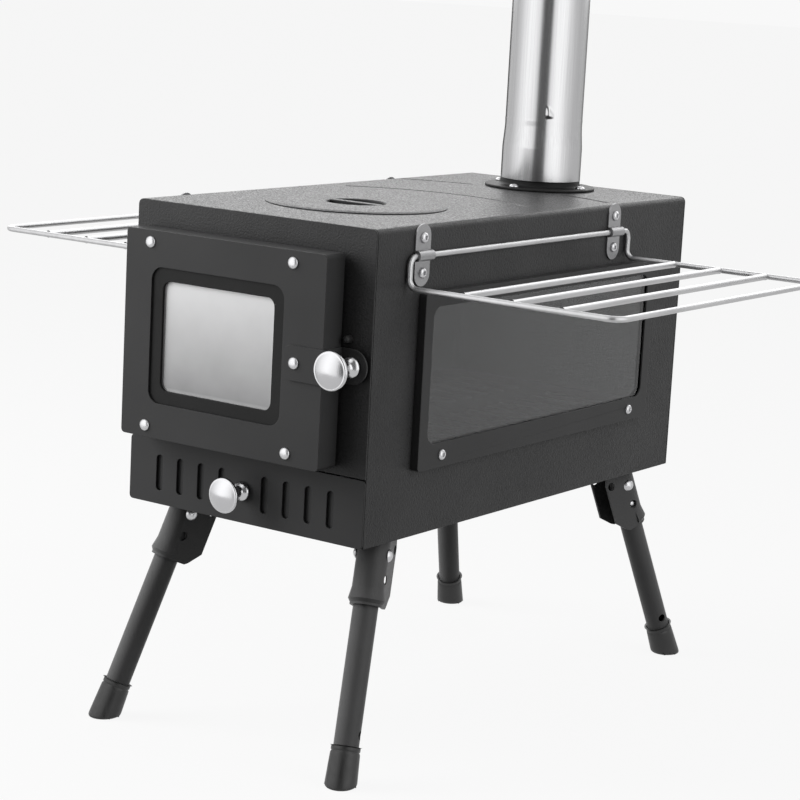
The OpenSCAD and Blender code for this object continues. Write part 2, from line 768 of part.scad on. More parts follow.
module door_pan() placed() color(black_steel) difference() {
    along_y(door_front, -door_gap)
        translate([door_mid_x, door_mid_z]) rounded_rect(door_w, door_h, door_corner_r);
    along_y(door_front + sheet_t, cut) translate([door_mid_x, door_mid_z])
        rounded_rect(door_w - 2 * sheet_t, door_h - 2 * sheet_t, door_corner_r - sheet_t);
    along_y(door_front - cut, door_front + sheet_t + cut)
        translate([window_x, door_mid_z]) rounded_rect(border_w, border_h, border_r);
    door_rivet_places() translate([0, 0, -sheet_t - cut]) cylinder(r = rivet_r, h = sheet_t + 2 * cut);
    latch_rivet_place() translate([0, 0, -sheet_t - cut]) cylinder(r = rivet_r, h = sheet_t + 2 * cut);
    for (z = lug_zs)
        translate([door_x - cut, -door_gap - notch_depth, z - move_gap])
            cube([sheet_t + 2 * cut, notch_depth + cut, lug_t + 2 * move_gap]);
}

module door_border() placed() color(dark_trim) along_y(border_front, glass_front)
    translate([window_x, door_mid_z]) difference() {
        rounded_rect(border_w + 2 * glass_lap, border_h + 2 * glass_lap, border_r + glass_lap);
        rounded_rect(view_w, view_h, view_r);
    }

module door_glass() placed() color(stove_glass, 0.7) along_y(glass_front, retainer_front)
    translate([window_x, door_mid_z])
        rounded_rect(view_w + 2 * glass_lap, view_h + 2 * glass_lap, view_r + glass_lap);

module door_gasket() placed() color(grey_rope) along_y(glass_front, retainer_front)
    translate([window_x, door_mid_z]) difference() {
        rounded_rect(view_w + 2 * (glass_lap + gasket_w), view_h + 2 * (glass_lap + gasket_w),
            view_r + glass_lap + gasket_w);
        rounded_rect(view_w + 2 * glass_lap, view_h + 2 * glass_lap, view_r + glass_lap);
    }

module door_retainer() placed() color(black_steel) difference() {
    along_y(retainer_front, retainer_front + sheet_t) difference() {
        translate([rivet_x, door_mid_z]) rounded_rect(2 * (rivet_half_w + retainer_edge),
            2 * (rivet_half_h + retainer_edge) - sheet_t, view_r);
        translate([window_x, door_mid_z]) rounded_rect(view_w, view_h, view_r);
    }
    door_rivet_places() translate([0, 0, -door_depth]) cylinder(r = rivet_r, h = door_depth);
}

module door_rivets() placed() color(polished) door_rivet_places() {
    dome(rivet_head_r, rivet_head_h);
    rivet_reach = retainer_front + 2 * sheet_t - door_front;
    translate([0, 0, -rivet_reach]) cylinder(r = rivet_r, h = rivet_reach);
}

module door_hinge_lugs() placed() color(black_steel) for (z = lug_zs) difference() {
    union() {
        along_z(z, z + lug_t) {
            translate([hinge_x, hinge_y]) circle(lug_r);
            translate([hinge_x - lug_r, hinge_y]) square([2 * lug_r, sheet_t - hinge_y]);
        }
        translate([hinge_x - lug_pad_w / 2, sheet_t, z + (lug_t - lug_pad_h) / 2])
            cube([lug_pad_w, sheet_t, lug_pad_h]);
    }
    translate([hinge_x, hinge_y, z - cut]) cylinder(r = pin_r + run_gap, h = lug_t + 2 * cut);
}

module door_hinge_ears() placed() color(black_steel) for (z = lug_zs)
    along_z(z + lug_t + move_gap, z + 2 * lug_t + move_gap) difference() {
        union() {
            translate([hinge_x, hinge_y]) circle(lug_r);
            translate([door_x + sheet_t, hinge_y - lug_r]) square([hinge_in - sheet_t, 2 * lug_r]);
        }
        translate([hinge_x, hinge_y]) circle(pin_r);
    }

module door_hinge_pins() placed() color(polished) for (z = lug_zs)
    translate([hinge_x, hinge_y, z]) {
        translate([0, 0, -pin_head_h]) cylinder(r = pin_r, h = 2 * lug_t + move_gap + pin_head_h);
        translate([0, 0, 2 * lug_t + move_gap]) cylinder(r = pin_head_r, h = pin_head_h);
    }

module latch_strap() placed() color(black_steel) difference() {
    union() {
        along_y(door_front - strap_t, door_front) {
            translate([strap_x + strap_t - strap_len / 2, latch_z])
                rounded_rect(strap_len, strap_h, strap_h / 4);
            translate([strap_x + strap_t - strap_len / 2, latch_z - strap_h / 2])
                square([strap_len / 2, strap_h]);
        }
        translate([strap_x, door_front - strap_t, latch_z - strap_h / 2])
            cube([strap_t, strap_y - door_front + strap_t, strap_h]);
        along_y(strap_y - strap_t, strap_y) {
            translate([strap_x, latch_z - strap_h / 2]) square([latch_x - strap_x, strap_h]);
            intersection() {
                translate([latch_x, latch_z]) circle(strap_end_r);
                translate([strap_x + strap_t / 2, latch_z - strap_h / 2]) square([2 * strap_h, strap_h]);
            }
        }
    }
    along_y(strap_y - strap_t - cut, strap_y + cut)
        translate([latch_x, latch_z]) circle(spindle_r + run_gap);
    latch_rivet_place() translate([0, 0, -cut]) cylinder(r = rivet_r, h = strap_t + 2 * cut);
}

module latch_rivet() placed() color(polished) latch_rivet_place() {
    translate([0, 0, strap_t]) dome(rivet_head_r, rivet_head_h);
    translate([0, 0, -2 * sheet_t]) cylinder(r = rivet_r, h = strap_t + 2 * sheet_t);
}

// Turned knob on the plane z = 0 with a blind bore for its shank
module knob(head_r, length, bore_r) {
    difference() {
        rotate_extrude() polygon([for (p = knob_outline_shares) [p[0] * head_r, p[1] * length]]);
        translate([0, 0, -cut]) cylinder(r = bore_r, h = knob_bore_share * length + cut);
    }
}

module latch_knob() placed() color(polished)
    translate([latch_x, strap_y - strap_t - seam_gap, latch_z]) rotate([90, 0, 0])
        knob(knob_r, knob_len, spindle_r);

module latch_spindle() placed() color(stainless) translate([latch_x, 0, latch_z]) union() {
    cam_front = sheet_t + move_gap;
    spindle_front = strap_y - strap_t - seam_gap - knob_bore_share * knob_len;
    along_y(spindle_front, cam_front) circle(spindle_r);
    along_y(strap_y + move_gap, strap_y + move_gap + latch_nut_t) circle(latch_nut_r);
    along_y(cam_front, cam_front + cam_t) rotate(90) slot(cam_len, 2 * spindle_r);
}

module latch_stop_stud() placed() color(stainless) translate([stud_x, 0, stud_z]) union() {
    along_y(0, sheet_t) circle(stud_r);
    rotate([90, 0, 0]) cylinder(r = stud_r, h = stud_len - stud_r);
    translate([0, stud_r - stud_len, 0]) rotate([90, 0, 0]) dome(stud_r, stud_r);
    along_y(sheet_t, 2 * sheet_t) circle(1.5 * stud_r);
}

module drawer_front() placed() color(black_steel) along_y(0, sheet_t) difference() {
    translate([0, drawer_h / 2]) rounded_rect(body_w, drawer_h, door_corner_r);
    for (i = [1 : 4], s = [-1, 1])
        translate([s * i * slot_pitch, drawer_knob_z]) rotate(90) slot(slot_h, slot_w);
    translate([0, drawer_knob_z]) circle(rivet_r);
}

module ash_tray() placed() color(black_steel) {
    tray_w = inner_w - 2 * sheet_t - 2 * tray_side;
    tray_z = sheet_t + tray_lift;
    difference() {
        translate([-tray_w / 2, sheet_t, tray_z]) cube([tray_w, tray_d, tray_h]);
        translate([-tray_w / 2 + tray_t, sheet_t - cut, tray_z + tray_t])
            cube([tray_w - 2 * tray_t, tray_recess + cut, tray_h]);
        translate([-tray_w / 2 + tray_t, sheet_t + tray_recess + tray_t, tray_z + tray_t])
            cube([tray_w - 2 * tray_t, tray_d - tray_recess - 2 * tray_t, tray_h]);
    }
}

module drawer_knob() placed() color(polished)
    translate([0, 0, drawer_knob_z]) rotate([90, 0, 0]) knob(drawer_knob_r, drawer_knob_len, rivet_r);

module drawer_knob_screw() placed() color(stainless)
    translate([0, sheet_t, drawer_knob_z]) rotate([90, 0, 0]) {
        translate([0, 0, -screw_head_h]) cylinder(r = screw_head_r, h = screw_head_h);
        cylinder(r = rivet_r, h = sheet_t + knob_bore_share * drawer_knob_len);
    }

// Carries a leg's frame to its pivot: sx is -1 on the left, sy is -1 at the front
module leg_frame(sx, sy) {
    translate([0, half_d, -pivot_drop]) mirror([sx < 0 ? 1 : 0, 0, 0]) mirror([0, sy < 0 ? 1 : 0, 0])
        translate([half_w - pivot_in_x, half_d - pivot_in_y, 0]) rotate([0, 0, -leg_turn]) children();
}

// Leans its children, drawn hanging down from the pivot, outwards
module leaned() {
    rotate([leg_lean, 0, 0]) children();
}

// Rivets through a bracket's web, on the leg's centre line inside the pivot
module bracket_rivet_places() {
    for (y = bracket_rivet_ys) translate([0, y, 0]) children();
}

// Section of the bracket's channel as (x, y): a half round back and two cheeks
module channel_section(r) {
    difference() {
        union() {
            circle(r);
            translate([-r, -cheek_reach]) square([2 * r, cheek_reach]);
        }
        circle(channel_r);
        translate([-channel_r, -cheek_reach - cut]) square([2 * channel_r, cheek_reach + cut]);
    }
}

// Side view of the bracket as (y, z), leaned with the leg and open at the top
module bracket_side() {
    corner = cheek_reach - channel_r;
    top = 2 * pivot_drop;
    polygon([
        [bracket_r + cut, top], [bracket_r + cut, -bracket_len], [-channel_r, -bracket_len],
        [-channel_r - corner / 4, corner / 6 - bracket_len], [-cheek_reach, corner - bracket_len],
        [-cheek_reach, top]
    ]);
}

// Holes for the lock ball, at the standing and the folded place of the leg
module lock_holes() {
    for (a = [0, -fold_angle]) rotate([a, 0, 0]) translate([-bracket_r - cut, 0, -lock_r])
        rotate([0, 90, 0]) cylinder(r = lock_hole_r, h = 2 * (bracket_r + cut));
}

module leg_bracket(sx, sy) placed() color(black_steel) leg_frame(sx, sy) difference() {
    union() {
        intersection() {
            leaned() intersection() {
                translate([0, 0, -bracket_len]) linear_extrude(bracket_len + 2 * pivot_drop)
                    channel_section(bracket_r);
                along_x(-bracket_r - cut, bracket_r + cut) bracket_side();
            }
            translate([-2 * bracket_len, -lock_r - lock_hole_r - cheek_margin, pivot_drop - 4 * bracket_len])
                cube(4 * bracket_len);
        }
        leaned() translate([0, 0, -bracket_len]) rotate_extrude(angle = 180) polygon([
            [channel_r, 0], [(channel_r + bracket_r) / 2, 0], [bracket_r + lip_proud, lip_h],
            [bracket_r, 3 * lip_h], [channel_r, 3 * lip_h]
        ]);
        translate([-web_half_w, -cheek_reach - pivot_drop / 3, pivot_drop - sheet_t])
            cube([2 * web_half_w, cheek_reach + pivot_drop / 3, sheet_t]);
    }
    translate([-bracket_r - cut, 0, 0]) rotate([0, 90, 0]) cylinder(r = pivot_r, h = 2 * (bracket_r + cut));
    leaned() lock_holes();
    leaned() rotate([0, 90, 0]) translate([0, 0, channel_r - cut])
        rotate([0, 0, -fold_angle]) rotate_extrude(angle = fold_angle)
            translate([lock_r - track_half_w, 0]) square([2 * track_half_w, track_depth + cut]);
    bracket_rivet_places() translate([0, 0, pivot_drop - sheet_t - cut])
        cylinder(r = screw_r, h = sheet_t + 2 * cut);
}

module leg_tube(sx, sy) placed() color(black_steel) leg_frame(sx, sy) leaned() difference() {
    union() {
        translate([0, 0, -tube_end]) cylinder(r = tube_r, h = tube_end);
        sphere(tube_r);
    }
    translate([0, 0, -tube_end - cut]) cylinder(r = tube_r - tube_wall, h = tube_end + cut - tube_wall);
    translate([-tube_r - cut, 0, 0]) rotate([0, 90, 0])
        cylinder(r = pivot_r + run_gap, h = 2 * (tube_r + cut));
    translate([0, 0, -lock_r]) rotate([0, 90, 0]) cylinder(r = lock_hole_r, h = tube_r + cut);
    translate([0, 0, drain_rise - leg_len + foot_len]) rotate([0, 90, 0])
        cylinder(r = drain_hole_r, h = tube_r + cut);
}

module leg_foot(sx, sy) placed() color(foot_black) difference() {
    leg_frame(sx, sy) leaned() difference() {
        translate([0, 0, -leg_len - foot_len]) {
            cylinder(r = foot_low_r, h = foot_len);
            translate([0, 0, foot_len]) cylinder(r1 = foot_low_r, r2 = foot_top_r, h = foot_len);
        }
        translate([0, 0, -tube_end]) cylinder(r = tube_r, h = tube_end);
    }
    translate([-body_w, -body_d, -floor_gap - 2 * foot_len]) cube([2 * body_w, 3 * body_d, 2 * foot_len]);
}

// Lock ball on the end of a flat spring that is folded back inside the leg tube
module leg_lock(sx, sy) placed() color(polished) leg_frame(sx, sy) leaned() {
    ball_x = channel_r + ball_proud - ball_r;
    spring_x = ball_x - ball_r + spring_t;
    spring_bend = spring_gap / 2;
    translate([ball_x, 0, -lock_r]) sphere(ball_r);
    translate([spring_x - spring_t, -spring_w / 2, -lock_r - spring_len])
        cube([spring_t, spring_w, spring_len + ball_r]);
    translate([spring_x - spring_gap, -spring_w / 2, -lock_r - spring_len])
        cube([spring_t, spring_w, spring_len]);
    translate([spring_x - spring_bend, spring_w / 2, -lock_r - spring_len]) rotate([90, 0, 0])
        linear_extrude(spring_w) difference() {
            circle(spring_bend);
            circle(spring_bend - spring_t);
            translate([-spring_gap, 0]) square(2 * spring_gap);
        }
}

module leg_pivot_rivets() placed() color(polished)
    for (sx = [-1, 1], sy = [-1, 1]) leg_frame(sx, sy) {
        translate([-bracket_r, 0, 0]) rotate([0, 90, 0]) cylinder(r = pivot_r, h = 2 * bracket_r);
        for (s = [-1, 1]) rotate([0, s * 90, 0]) translate([0, 0, bracket_r])
            dome(pivot_head_r, pivot_head_h);
    }

module leg_bracket_rivets() placed() color(stainless)
    for (sx = [-1, 1], sy = [-1, 1]) leg_frame(sx, sy) bracket_rivet_places() {
        rivet_low = pivot_drop - sheet_t - bracket_rivet_head_h;
        translate([0, 0, rivet_low]) cylinder(r = bracket_rivet_head_r, h = bracket_rivet_head_h);
        translate([0, 0, rivet_low]) cylinder(r = screw_r, h = bracket_rivet_head_h + 2 * sheet_t);
    }

body_shell();
front_panel();
back_panel();
base_pan();
fire_grate();
drawer_runners();
side_frame(-1);  // side_frame_left
side_frame(1);  // side_frame_right
side_glass(-1);  // side_glass_left
side_glass(1);  // side_glass_right
side_gasket(-1);  // side_gasket_left
side_gasket(1);  // side_gasket_right
side_frame_screws();
cooking_lid();
lid_lift_bar();
flue_collar();
flue_screws();
flue_pipe();
rack(-1);  // rack_left
rack(1);  // rack_right
rack_clips();
rack_clip_screws();
door_pan();
door_border();
door_glass();
door_gasket();
door_retainer();
door_rivets();
door_hinge_lugs();
door_hinge_ears();
door_hinge_pins();
latch_strap();
latch_rivet();
latch_knob();
latch_spindle();
latch_stop_stud();
drawer_front();
ash_tray();
drawer_knob();
drawer_knob_screw();
leg_bracket(-1, -1);  // leg_bracket_fl
leg_bracket(1, -1);  // leg_bracket_fr
leg_bracket(-1, 1);  // leg_bracket_bl
leg_bracket(1, 1);  // leg_bracket_br
leg_tube(-1, -1);  // leg_tube_fl
leg_tube(1, -1);  // leg_tube_fr
leg_tube(-1, 1);  // leg_tube_bl
leg_tube(1, 1);  // leg_tube_br
leg_foot(-1, -1);  // leg_foot_fl
leg_foot(1, -1);  // leg_foot_fr
leg_foot(-1, 1);  // leg_foot_bl
leg_foot(1, 1);  // leg_foot_br
leg_lock(-1, -1);  // leg_lock_fl
leg_lock(1, -1);  // leg_lock_fr
leg_lock(-1, 1);  // leg_lock_bl
leg_lock(1, 1);  // leg_lock_br
leg_pivot_rivets();
leg_bracket_rivets();
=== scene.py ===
# %% [markdown]
# # A tent wood stove
# The real stove is a firebox folded from thin steel sheet and powder coated matte black. It has a
# glazed door, an ash drawer with air slots, a long window in each side, two wire racks, a round
# cooking lid, a steel flue and four folding legs. The construction model gives every sheet its
# place. This lesson keeps those places, rounds what a press brake would round, and models anew
# whatever is turned or bent from wire. The first step loads the construction model.

# %% Load the construction model
from math import atan2, cos, pi, radians, sin

import bpy
from mathutils import Matrix, Vector


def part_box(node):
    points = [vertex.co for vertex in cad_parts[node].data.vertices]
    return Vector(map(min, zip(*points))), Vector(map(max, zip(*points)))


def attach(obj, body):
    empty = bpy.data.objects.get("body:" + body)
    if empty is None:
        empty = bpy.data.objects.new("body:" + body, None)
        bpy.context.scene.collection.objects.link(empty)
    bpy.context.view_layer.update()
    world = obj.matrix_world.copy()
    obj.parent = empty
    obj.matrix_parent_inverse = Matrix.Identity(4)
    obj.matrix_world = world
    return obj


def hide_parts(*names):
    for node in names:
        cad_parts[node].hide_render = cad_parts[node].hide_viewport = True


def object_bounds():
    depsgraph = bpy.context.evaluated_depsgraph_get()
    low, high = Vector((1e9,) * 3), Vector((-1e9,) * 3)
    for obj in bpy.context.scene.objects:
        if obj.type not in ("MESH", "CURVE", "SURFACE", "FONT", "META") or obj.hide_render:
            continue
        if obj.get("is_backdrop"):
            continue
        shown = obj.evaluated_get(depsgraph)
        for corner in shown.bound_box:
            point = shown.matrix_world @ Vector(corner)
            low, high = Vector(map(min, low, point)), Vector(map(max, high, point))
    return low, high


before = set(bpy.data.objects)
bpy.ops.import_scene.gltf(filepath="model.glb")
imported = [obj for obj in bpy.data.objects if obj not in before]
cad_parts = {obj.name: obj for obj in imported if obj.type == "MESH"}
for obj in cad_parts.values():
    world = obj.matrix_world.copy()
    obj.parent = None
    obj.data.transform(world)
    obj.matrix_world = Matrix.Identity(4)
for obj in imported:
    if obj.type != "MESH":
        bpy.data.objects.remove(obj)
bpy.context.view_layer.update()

MM = 0.001

# %% [markdown]
# Places are read from the construction model's own nodes, so that nothing is measured twice. The
# stove's front face and underside are the two planes that most other places are counted from.

# %% Places on the stove
FRONT_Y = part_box("front_panel")[0].y
BASE_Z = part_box("body_shell")[0].z
TOP_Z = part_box("body_shell")[1].z
HALF_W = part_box("body_shell")[1].x


def on_stove(x, y, z):
    """A point in millimetres from the middle of the front's lower edge, as a place in the scene."""
    return Vector((x * MM, FRONT_Y + y * MM, BASE_Z + z * MM))


print("front face at y", round(FRONT_Y, 4), "and underside at z", round(BASE_Z, 4))

# %% [markdown]
# ## The camera
# The photographer stood a little above the stove, to the right of its door, with a long lens, which
# is why the far edges hardly converge. The camera is also tipped a few degrees, as the photograph's
# uprights show. Its place was found from the corners of the firebox.

# %% Camera
CAMERA_AT = on_stove(982.7, -1227.5, 382.0)
CAMERA_TURN, CAMERA_DROP, CAMERA_TIP = radians(34.974), radians(10.567), radians(3.061)
SENSOR_WIDTH, LENS = 36, 108.51
forward = Vector((-sin(CAMERA_TURN) * cos(CAMERA_DROP),
                  cos(CAMERA_TURN) * cos(CAMERA_DROP), -sin(CAMERA_DROP)))
level_right = Vector((cos(CAMERA_TURN), sin(CAMERA_TURN), 0))
level_up = level_right.cross(forward)
right = cos(CAMERA_TIP) * level_right + sin(CAMERA_TIP) * level_up
up = cos(CAMERA_TIP) * level_up - sin(CAMERA_TIP) * level_right

bpy.ops.object.select_all(action="DESELECT")
bpy.ops.object.camera_add()
camera = bpy.context.active_object
camera.name = "photo_camera"
camera.matrix_world = Matrix((right, up, -forward)).transposed().to_4x4()
camera.location = CAMERA_AT
camera.data.sensor_width = SENSOR_WIDTH
camera.data.lens = LENS
bpy.context.scene.camera = camera
print("camera at", [round(v, 3) for v in CAMERA_AT])

# %% [markdown]
# ## Tools for shaping
# Most new pieces are turned, so one helper does what a lathe does: a circle is extruded from ring
# to ring, and each ring is scaled to its radius. A ring of radius zero is merged to a point, which
# closes the pole. Everything is deselected before a primitive is added, because an operator acts
# on all that is selected.


# %% Helpers for selecting and finishing
MERGE = 0.000002  # points closer than this many metres are one point


def only(piece):
    """Leaves one object selected and active, in object mode."""
    if bpy.context.object and bpy.context.object.mode != "OBJECT":
        bpy.ops.object.mode_set(mode="OBJECT")
    bpy.ops.object.select_all(action="DESELECT")
    piece.select_set(True)
    bpy.context.view_layer.objects.active = piece


def edit(piece, mode="VERT"):
    """Opens one object in edit mode, to work on its points, edges or faces."""
    only(piece)
    bpy.ops.object.mode_set(mode="EDIT")
    bpy.ops.mesh.select_mode(type=mode)


def done():
    """Back to object mode."""
    bpy.ops.object.mode_set(mode="OBJECT")


def outward(piece):
    """Merges doubles and points the faces outwards."""
    edit(piece)
    bpy.ops.mesh.select_all(action="SELECT")
    bpy.ops.mesh.remove_doubles(threshold=MERGE)
    bpy.ops.mesh.normals_make_consistent(inside=False)
    done()


def modify(piece, kind, **settings):
    """Adds a modifier with these settings and applies it."""
    only(piece)
    modifier = piece.modifiers.new(kind.title(), kind)
    for setting, value in settings.items():
        setattr(modifier, setting, value)
    bpy.ops.object.modifier_apply(modifier=modifier.name)


def smooth(piece, angle=35):
    """Shades smooth across edges that turn by less than an angle in degrees."""
    only(piece)
    bpy.ops.object.shade_smooth_by_angle(angle=radians(angle))


def copied(piece, name, move):
    """A copy with its own mesh, moved by a vector."""
    only(piece)
    bpy.ops.object.duplicate()
    twin = bpy.context.active_object
    twin.name = name
    twin.data.transform(Matrix.Translation(move))
    return twin


def joined(pieces, name):
    """Several objects as one."""
    only(pieces[0])
    for piece in pieces[1:]:
        piece.select_set(True)
    if len(pieces) > 1:
        bpy.ops.object.join()
    pieces[0].name = name
    return pieces[0]


def aimed(piece, place, direction):
    """Carries a piece made on the z axis to a place, with its z axis along a direction."""
    turn = Vector(direction).to_track_quat("Z", "Y").to_matrix().to_4x4()
    piece.data.transform(Matrix.Translation(place) @ turn)
    return piece


def coated(piece, material):
    """Gives a piece one finish, in place of any that it came with."""
    piece.data.materials.clear()
    piece.data.materials.append(material)


def fitted(piece, body, slot, *nodes):
    """Hands a finished piece to its body and hides the nodes it stands for; the slot is not used."""
    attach(piece, body)
    if nodes:
        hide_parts(*nodes)
    print(f"{piece.name}: {len(piece.data.polygons)} faces on {body}")
    return piece


# %% Helper for turned pieces
def turned(name, rings, sides=96, smooth_angle=35, closed=False):
    """A circle extruded ring by ring up the z axis. Rings are (radius, height) in millimetres."""
    bpy.ops.object.select_all(action="DESELECT")
    radius, height = rings[0]
    bpy.ops.mesh.primitive_circle_add(vertices=sides, radius=radius * MM, location=(0, 0, 0))
    piece = bpy.context.active_object
    piece.name = name
    piece.data.transform(Matrix.Translation((0, 0, height * MM)))
    bpy.ops.object.mode_set(mode="EDIT")
    bpy.ops.mesh.select_mode(type="VERT")
    bpy.ops.mesh.select_all(action="SELECT")
    for next_radius, next_height in rings[1:]:
        rise = (next_height - height) * MM
        bpy.ops.mesh.extrude_region_move(TRANSFORM_OT_translate={"value": (0, 0, rise)})
        if next_radius == 0:
            bpy.ops.mesh.merge(type="CENTER")
            break
        grow = next_radius / radius
        bpy.ops.transform.resize(value=(grow, grow, 1), center_override=(0, 0, next_height * MM))
        radius, height = next_radius, next_height
    bpy.ops.mesh.select_all(action="SELECT")
    bpy.ops.mesh.remove_doubles(threshold=MERGE)
    if closed:
        bpy.ops.mesh.select_all(action="DESELECT")
        bpy.ops.mesh.select_non_manifold()
        bpy.ops.mesh.edge_face_add()
    done()
    outward(piece)
    mark_radius(piece)
    smooth(piece, smooth_angle)
    modify(piece, "WEIGHTED_NORMAL", keep_sharp=True)
    return piece


def mark_radius(piece):
    """Stores each point's distance from the turning axis, for turning marks in the finish."""
    from_axis = piece.data.attributes.new("from_axis", "FLOAT", "POINT")
    for point in piece.data.vertices:
        from_axis.data[point.index].value = Vector(point.co.xy).length


# %% [markdown]
# Sheet metal is never sharp: a folded edge has the radius of the press brake, and a cut edge is
# eased before it is coated. Each sheet of the construction model is copied, its loose triangles
# are merged into whole faces, and its edges are beveled. The weighted normals keep the flats flat.


# %% Helper for sheet metal
FLAT, FOLD = radians(0.4), radians(40)  # faces that meet at less are one face, at more a folded edge


def eased(node, name, ease, clamp=False):
    """A copy of a sheet with its edges rounded, in millimetres."""
    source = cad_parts[node]
    piece = bpy.data.objects.new(name, source.data.copy())
    bpy.context.scene.collection.objects.link(piece)
    only(piece)
    if piece.data.has_custom_normals:
        bpy.ops.mesh.customdata_custom_splitnormals_clear()
    bpy.ops.object.mode_set(mode="EDIT")
    bpy.ops.mesh.select_all(action="SELECT")
    bpy.ops.mesh.remove_doubles(threshold=MERGE)
    bpy.ops.mesh.dissolve_limited(angle_limit=FLAT)
    done()
    modify(piece, "BEVEL", width=ease * MM, segments=2, limit_method="ANGLE",
           angle_limit=FOLD, miter_outer="MITER_ARC", use_clamp_overlap=clamp)
    smooth(piece, 30)
    modify(piece, "WEIGHTED_NORMAL", keep_sharp=True)
    return piece


# %% [markdown]
# ## Finishes
# The stove has few finishes: a matte powder coat, a smoother heat paint, drawn stainless sheet,
# bright wire, polished turned parts, stove glass, glass rope and rubber. Each is a node material
# that reads the object's own coordinates, so that its grain has a real size and stays with the
# piece when it moves.


# %% Helpers for finishes
def shader(material, socket):
    """A socket of the material's main shader."""
    return material.node_tree.nodes["Principled BSDF"].inputs[socket]


def finish_named(name, **sockets):
    """A material with plain values on its shader's own sockets."""
    material = bpy.data.materials.new(name)
    material.use_nodes = True
    for socket, value in sockets.items():
        shader(material, socket.replace("_", " ")).default_value = value
    return material


def added(material, kind, **settings):
    """A new node in the material, with its settings."""
    node = material.node_tree.nodes.new(kind)
    for setting, value in settings.items():
        setattr(node, setting, value)
    return node


def linked(material, source, target):
    """Joins an output to an input."""
    material.node_tree.links.new(source, target)


def grain(material, cell, stretch=(1, 1, 1), detail=3.0):
    """Noise whose grains are about one cell wide, in millimetres, stretched along an axis."""
    place = added(material, "ShaderNodeTexCoord")
    mapping = added(material, "ShaderNodeMapping")
    mapping.inputs["Scale"].default_value = [1 / (cell * MM * s) for s in stretch]
    noise = added(material, "ShaderNodeTexNoise")
    noise.inputs["Scale"].default_value = 1.0
    noise.inputs["Detail"].default_value = detail
    linked(material, place.outputs["Object"], mapping.inputs["Vector"])
    linked(material, mapping.outputs["Vector"], noise.inputs["Vector"])
    return noise.outputs["Fac"]


def spread(material, value, low, high, start=0.3, end=0.7):
    """Carries a noise value to a range of numbers."""
    ramp = added(material, "ShaderNodeMapRange")
    for socket, number in (("From Min", start), ("From Max", end), ("To Min", low), ("To Max", high)):
        ramp.inputs[socket].default_value = number
    linked(material, value, ramp.inputs["Value"])
    return ramp.outputs["Result"]


def tinted(material, value, dark, light, start=0.3, end=0.7):
    """Carries a noise value to a colour between two."""
    ramp = added(material, "ShaderNodeValToRGB")
    first, last = ramp.color_ramp.elements
    first.position, last.position = start, end
    first.color, last.color = (*dark, 1), (*light, 1)
    linked(material, value, ramp.inputs["Fac"])
    linked(material, ramp.outputs["Color"], shader(material, "Base Color"))


def raised(material, value, height, strength, under=None):
    """Turns a value into relief, on top of another relief."""
    bump = added(material, "ShaderNodeBump")
    bump.inputs["Strength"].default_value = strength
    bump.inputs["Distance"].default_value = height * MM
    linked(material, value, bump.inputs["Height"])
    if under:
        linked(material, under, bump.inputs["Normal"])
    linked(material, bump.outputs["Normal"], shader(material, "Normal"))
    return bump.outputs["Normal"]


def roughened(material, value, low, high):
    """Lets the gloss change with a noise value."""
    linked(material, spread(material, value, low, high), shader(material, "Roughness"))


# %% [markdown]
# Powder coat is dust that was melted on: close up it has a sandy skin of millimetre grains on a
# slower orange peel, and its gloss changes a little from place to place. Two noises at those two
# sizes give the relief, and a third of a hand's width gives the uneven tone. The top and the panels
# are sandier than the door and the frames. The binder mirrors the room a little on the upright
# sides, and strongly on the top, where the view grazes it, so the top looks pale.

# %% Powder coat
TONE_CELL, SAND_CELL, PEEL_CELL = 55, 1.4, 4.0


def powder_coat(name, dark, light, gloss_low, gloss_high, sand):
    """A coat between two tones and two roughnesses, with sand of a height in millimetres."""
    material = finish_named(name, Metallic=0.0, IOR=1.22)
    tinted(material, grain(material, TONE_CELL, detail=2), dark, light)
    grains = grain(material, SAND_CELL, detail=1)
    roughened(material, grains, gloss_low, gloss_high)
    peel = raised(material, grain(material, PEEL_CELL, detail=1), 0.05, 0.4)
    raised(material, grains, sand, 1.0, peel)
    return material


BODY_COAT = powder_coat("sandy_powder_coat", (0.036, 0.036, 0.0365), (0.046, 0.046, 0.0465),
                        0.26, 0.56, 0.30)
DOOR_COAT = powder_coat("fine_powder_coat", (0.038, 0.038, 0.0385), (0.043, 0.043, 0.0435),
                        0.38, 0.44, 0.03)
TRIM_COAT = powder_coat("dark_heat_paint", (0.011, 0.011, 0.011), (0.015, 0.015, 0.015),
                        0.46, 0.54, 0.01)
LEG_COAT = powder_coat("leg_powder_coat", (0.076, 0.076, 0.0765), (0.094, 0.094, 0.0945),
                       0.36, 0.46, 0.10)
print("powder coats:", [coat.name for coat in (BODY_COAT, DOOR_COAT, TRIM_COAT, LEG_COAT)])

# %% [markdown]
# Stainless sheet is rolled, so fine lines run along it. The flue's lines run up the pipe: noise
# that is stretched a hundred times along z gives both the streaks in the gloss and a faint relief.
# Wire is drawn, so its streaks are longer one way too, and tumbled clips and screws have none.

# %% Metals
def streaked_steel(name, dark, light, gloss_low, gloss_high, stretch, relief, cell=0.5):
    """Steel whose tone, gloss and relief follow one noise, stretched as the metal was drawn."""
    material = finish_named(name, Metallic=1.0)
    streaks = grain(material, cell, stretch, detail=2)
    tinted(material, streaks, dark, light)
    roughened(material, streaks, gloss_low, gloss_high)
    raised(material, streaks, 0.01, relief)
    return material


